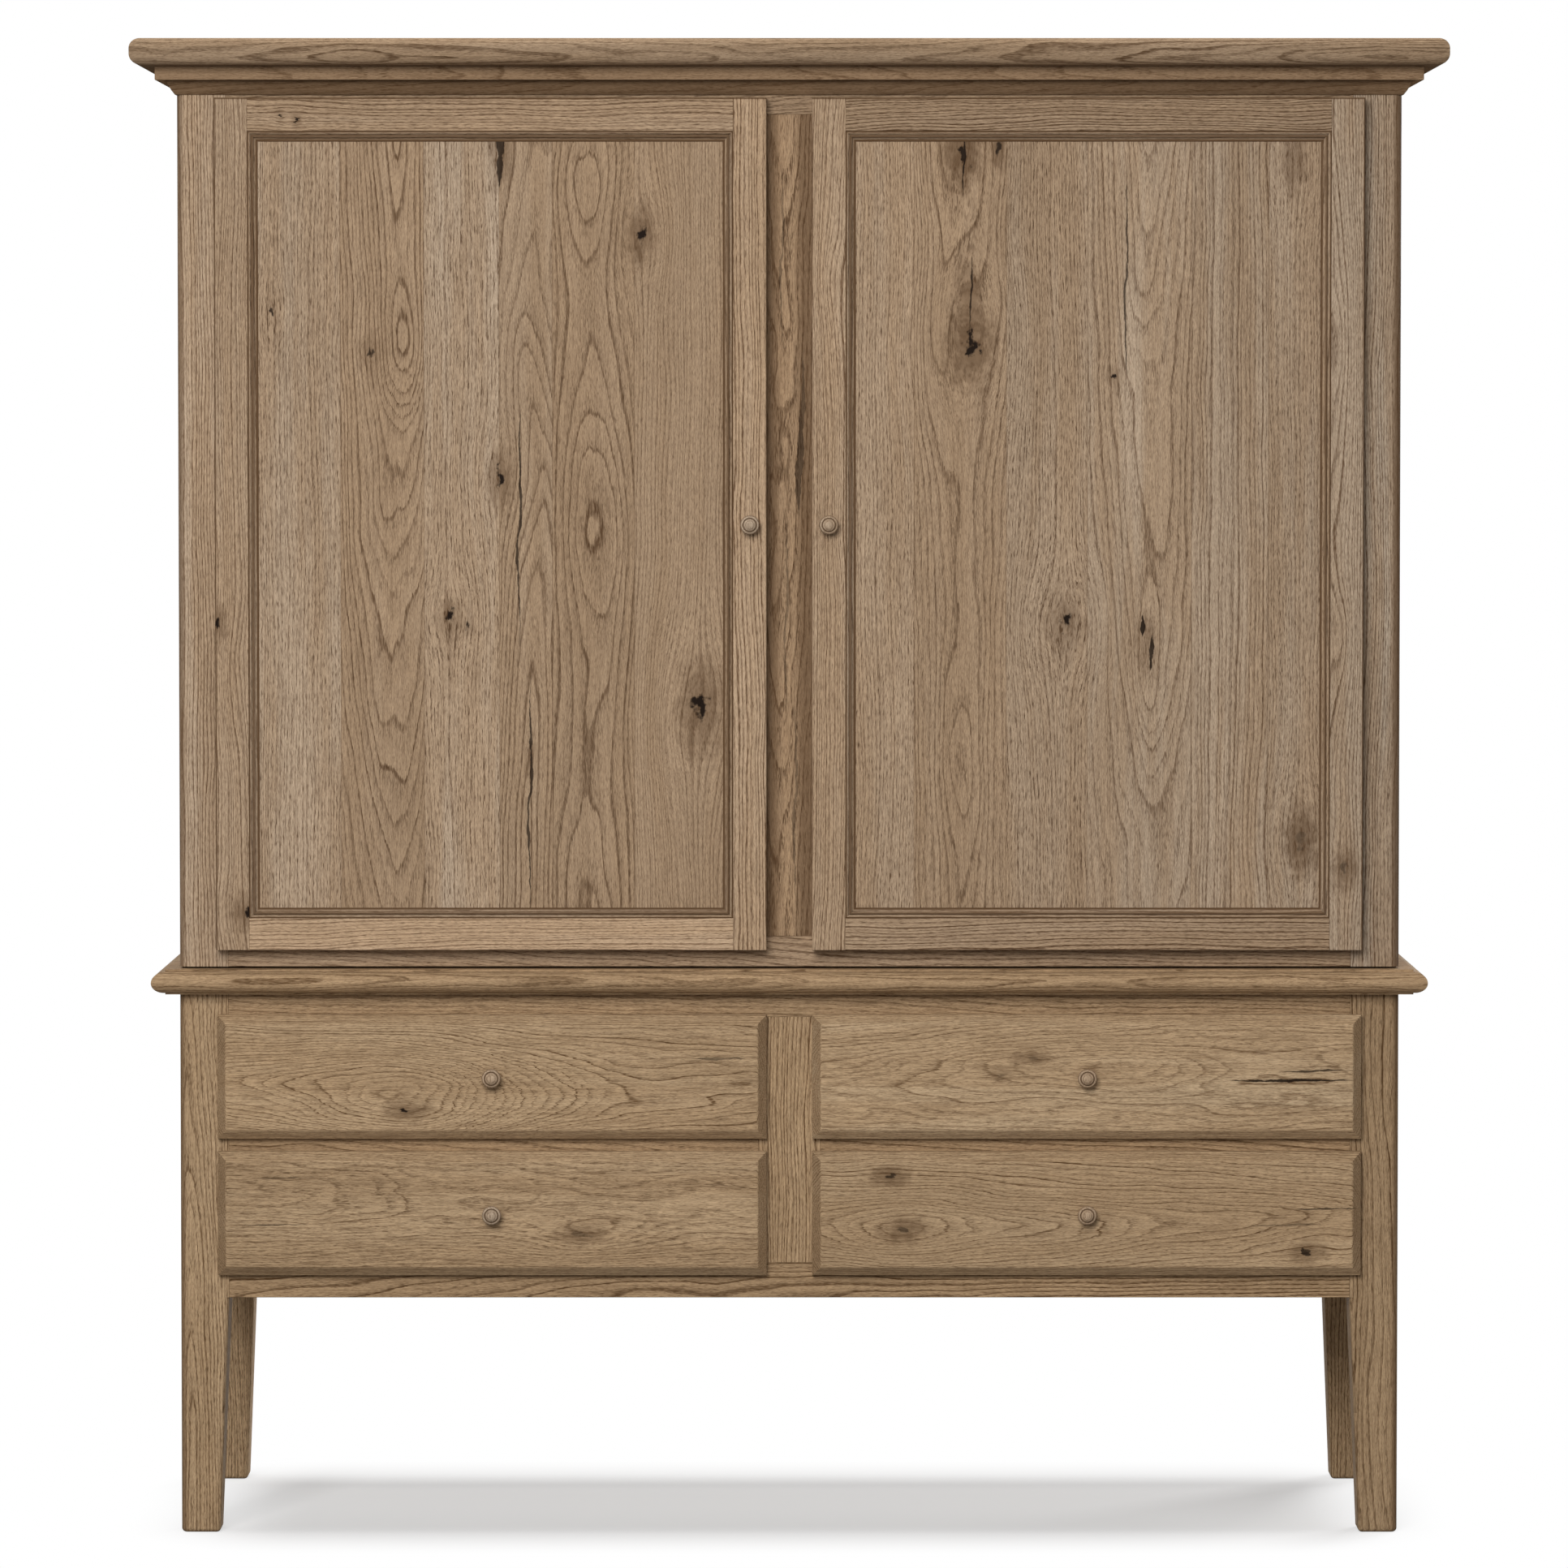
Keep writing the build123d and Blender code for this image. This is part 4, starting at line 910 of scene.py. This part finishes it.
# Studio: white floor, soft light from the front left and from above, camera far off at eye height
studio = {
    "floorHalf": 30.0,
    "floorColour": "#f4f4f4",
    "floorBounce": "#8a8886",
    "floorLift": 0.16,
    "shadowHalf": (0.66, 0.17, 0.0),  # the floor shows shadow under the cabinet and fades to white round it
    "shadowFade": 0.26,
    "skyStrength": 0.23,
    "key": {"at": (-1.4, -6.9, 3.9), "aim": (0.0, -0.25, 0.9), "size": (3.5, 3.4), "power": 392.0},
    "top": {"at": (0.0, 0.5, 4.8), "aim": (0.0, 0.2, 0.0), "size": (4.5, 2.4), "power": 120.0},
    "rear": {"at": (4.2, 5.2, 3.2), "aim": (0.0, 0.2, 1.0), "size": (3.0, 3.0), "power": 190.0},
}


def seenDirectly(tree):  # 1 for a ray from the camera, also by way of metal or glass
    path = add(tree, "LightPath")
    seen = add(tree, "Math", {0: path["Is Camera Ray"], 1: path["Is Glossy Ray"]}, operation="MAXIMUM")
    return add(tree, "Math", {0: seen[0], 1: path["Is Transmission Ray"]}, operation="MAXIMUM")[0]


def makeFloor():
    mesh = bmesh.new()
    bmesh.ops.create_grid(mesh, x_segments=1, y_segments=1, size=studio["floorHalf"])
    data = bpy.data.meshes.new("floor")
    mesh.to_mesh(data)
    mesh.free()
    floor = bpy.data.objects.new("floor", data)
    bpy.context.scene.collection.objects.link(floor)
    material = bpy.data.materials.new("matt white studio floor")
    tree = emptyTree(material)
    matt = add(tree, "BsdfDiffuse", {"Color": linear(studio["floorColour"])})
    bounce = add(tree, "BsdfDiffuse", {"Color": linear(studio["floorBounce"])})
    lift = add(tree, "Emission", {"Strength": studio["floorLift"]})
    near = add(tree, "AddShader", {0: matt[0], 1: lift[0]})
    white = add(tree, "Emission", {"Strength": 1.0})
    away = add(tree, "VectorMath", {0: add(tree, "TexCoord")["Object"]}, operation="ABSOLUTE")
    away = add(tree, "VectorMath", {0: away[0], 1: studio["shadowHalf"]}, operation="SUBTRACT")
    away = add(tree, "VectorMath", {0: away[0], 1: (0.0, 0.0, 0.0)}, operation="MAXIMUM")
    away = add(tree, "VectorMath", {0: away[0]}, operation="LENGTH")
    far = {0: away[1], 1: 0.0, 2: studio["shadowFade"]}
    far = add(tree, "MapRange", far, interpolation_type="SMOOTHSTEP")
    shown = add(tree, "MixShader", {0: far[0], 1: near[0], 2: white[0]})
    shader = add(tree, "MixShader", {0: seenDirectly(tree), 1: bounce[0], 2: shown[0]})
    add(tree, "OutputMaterial", {0: shader[0]})
    data.materials.append(material)


def makeLight():
    world = bpy.data.worlds.new("studio")
    bpy.context.scene.world = world
    tree = emptyTree(world)
    strength = {0: seenDirectly(tree), 2: studio["skyStrength"], 3: 1.0}
    strength = add(tree, "Mix", strength, data_type="FLOAT")
    sky = add(tree, "Background", {"Color": (1.0, 1.0, 1.0, 1.0), "Strength": strength[0]})
    add(tree, "OutputWorld", {0: sky[0]})
    for name in ("key", "top", "rear"):
        lamp = studio[name]
        data = bpy.data.lights.new(name, "AREA")
        data.shape = "RECTANGLE"
        data.size, data.size_y = lamp["size"]
        data.energy = lamp["power"]
        made = bpy.data.objects.new(name, data)
        made.location = lamp["at"]
        ray = Vector(lamp["aim"]) - Vector(lamp["at"])
        made.rotation_euler = ray.to_track_quat("-Z", "Y").to_euler()
        bpy.context.scene.collection.objects.link(made)


viewFrom = {
    "at": (0.0, -9.5336, 1.5113),
    "tilt": 2.324,  # degrees downward
    "sensor": 36.0,
    "lens": 157.24,
    "shift": (-0.0034, -0.0518),
    "clipEnd": 100.0,
}


def makeCamera():
    data = bpy.data.cameras.new("camera")
    data.sensor_width = viewFrom["sensor"]
    data.lens = viewFrom["lens"]
    data.shift_x, data.shift_y = viewFrom["shift"]
    data.clip_end = viewFrom["clipEnd"]
    camera = bpy.data.objects.new("camera", data)
    camera.location = viewFrom["at"]
    camera.rotation_euler = (math.radians(90 - viewFrom["tilt"]), 0.0, 0.0)
    bpy.context.scene.collection.objects.link(camera)
    bpy.context.scene.camera = camera


makeFloor()
makeLight()
makeCamera()
bpy.context.scene.view_settings.view_transform = "Standard"
print("studio ready")
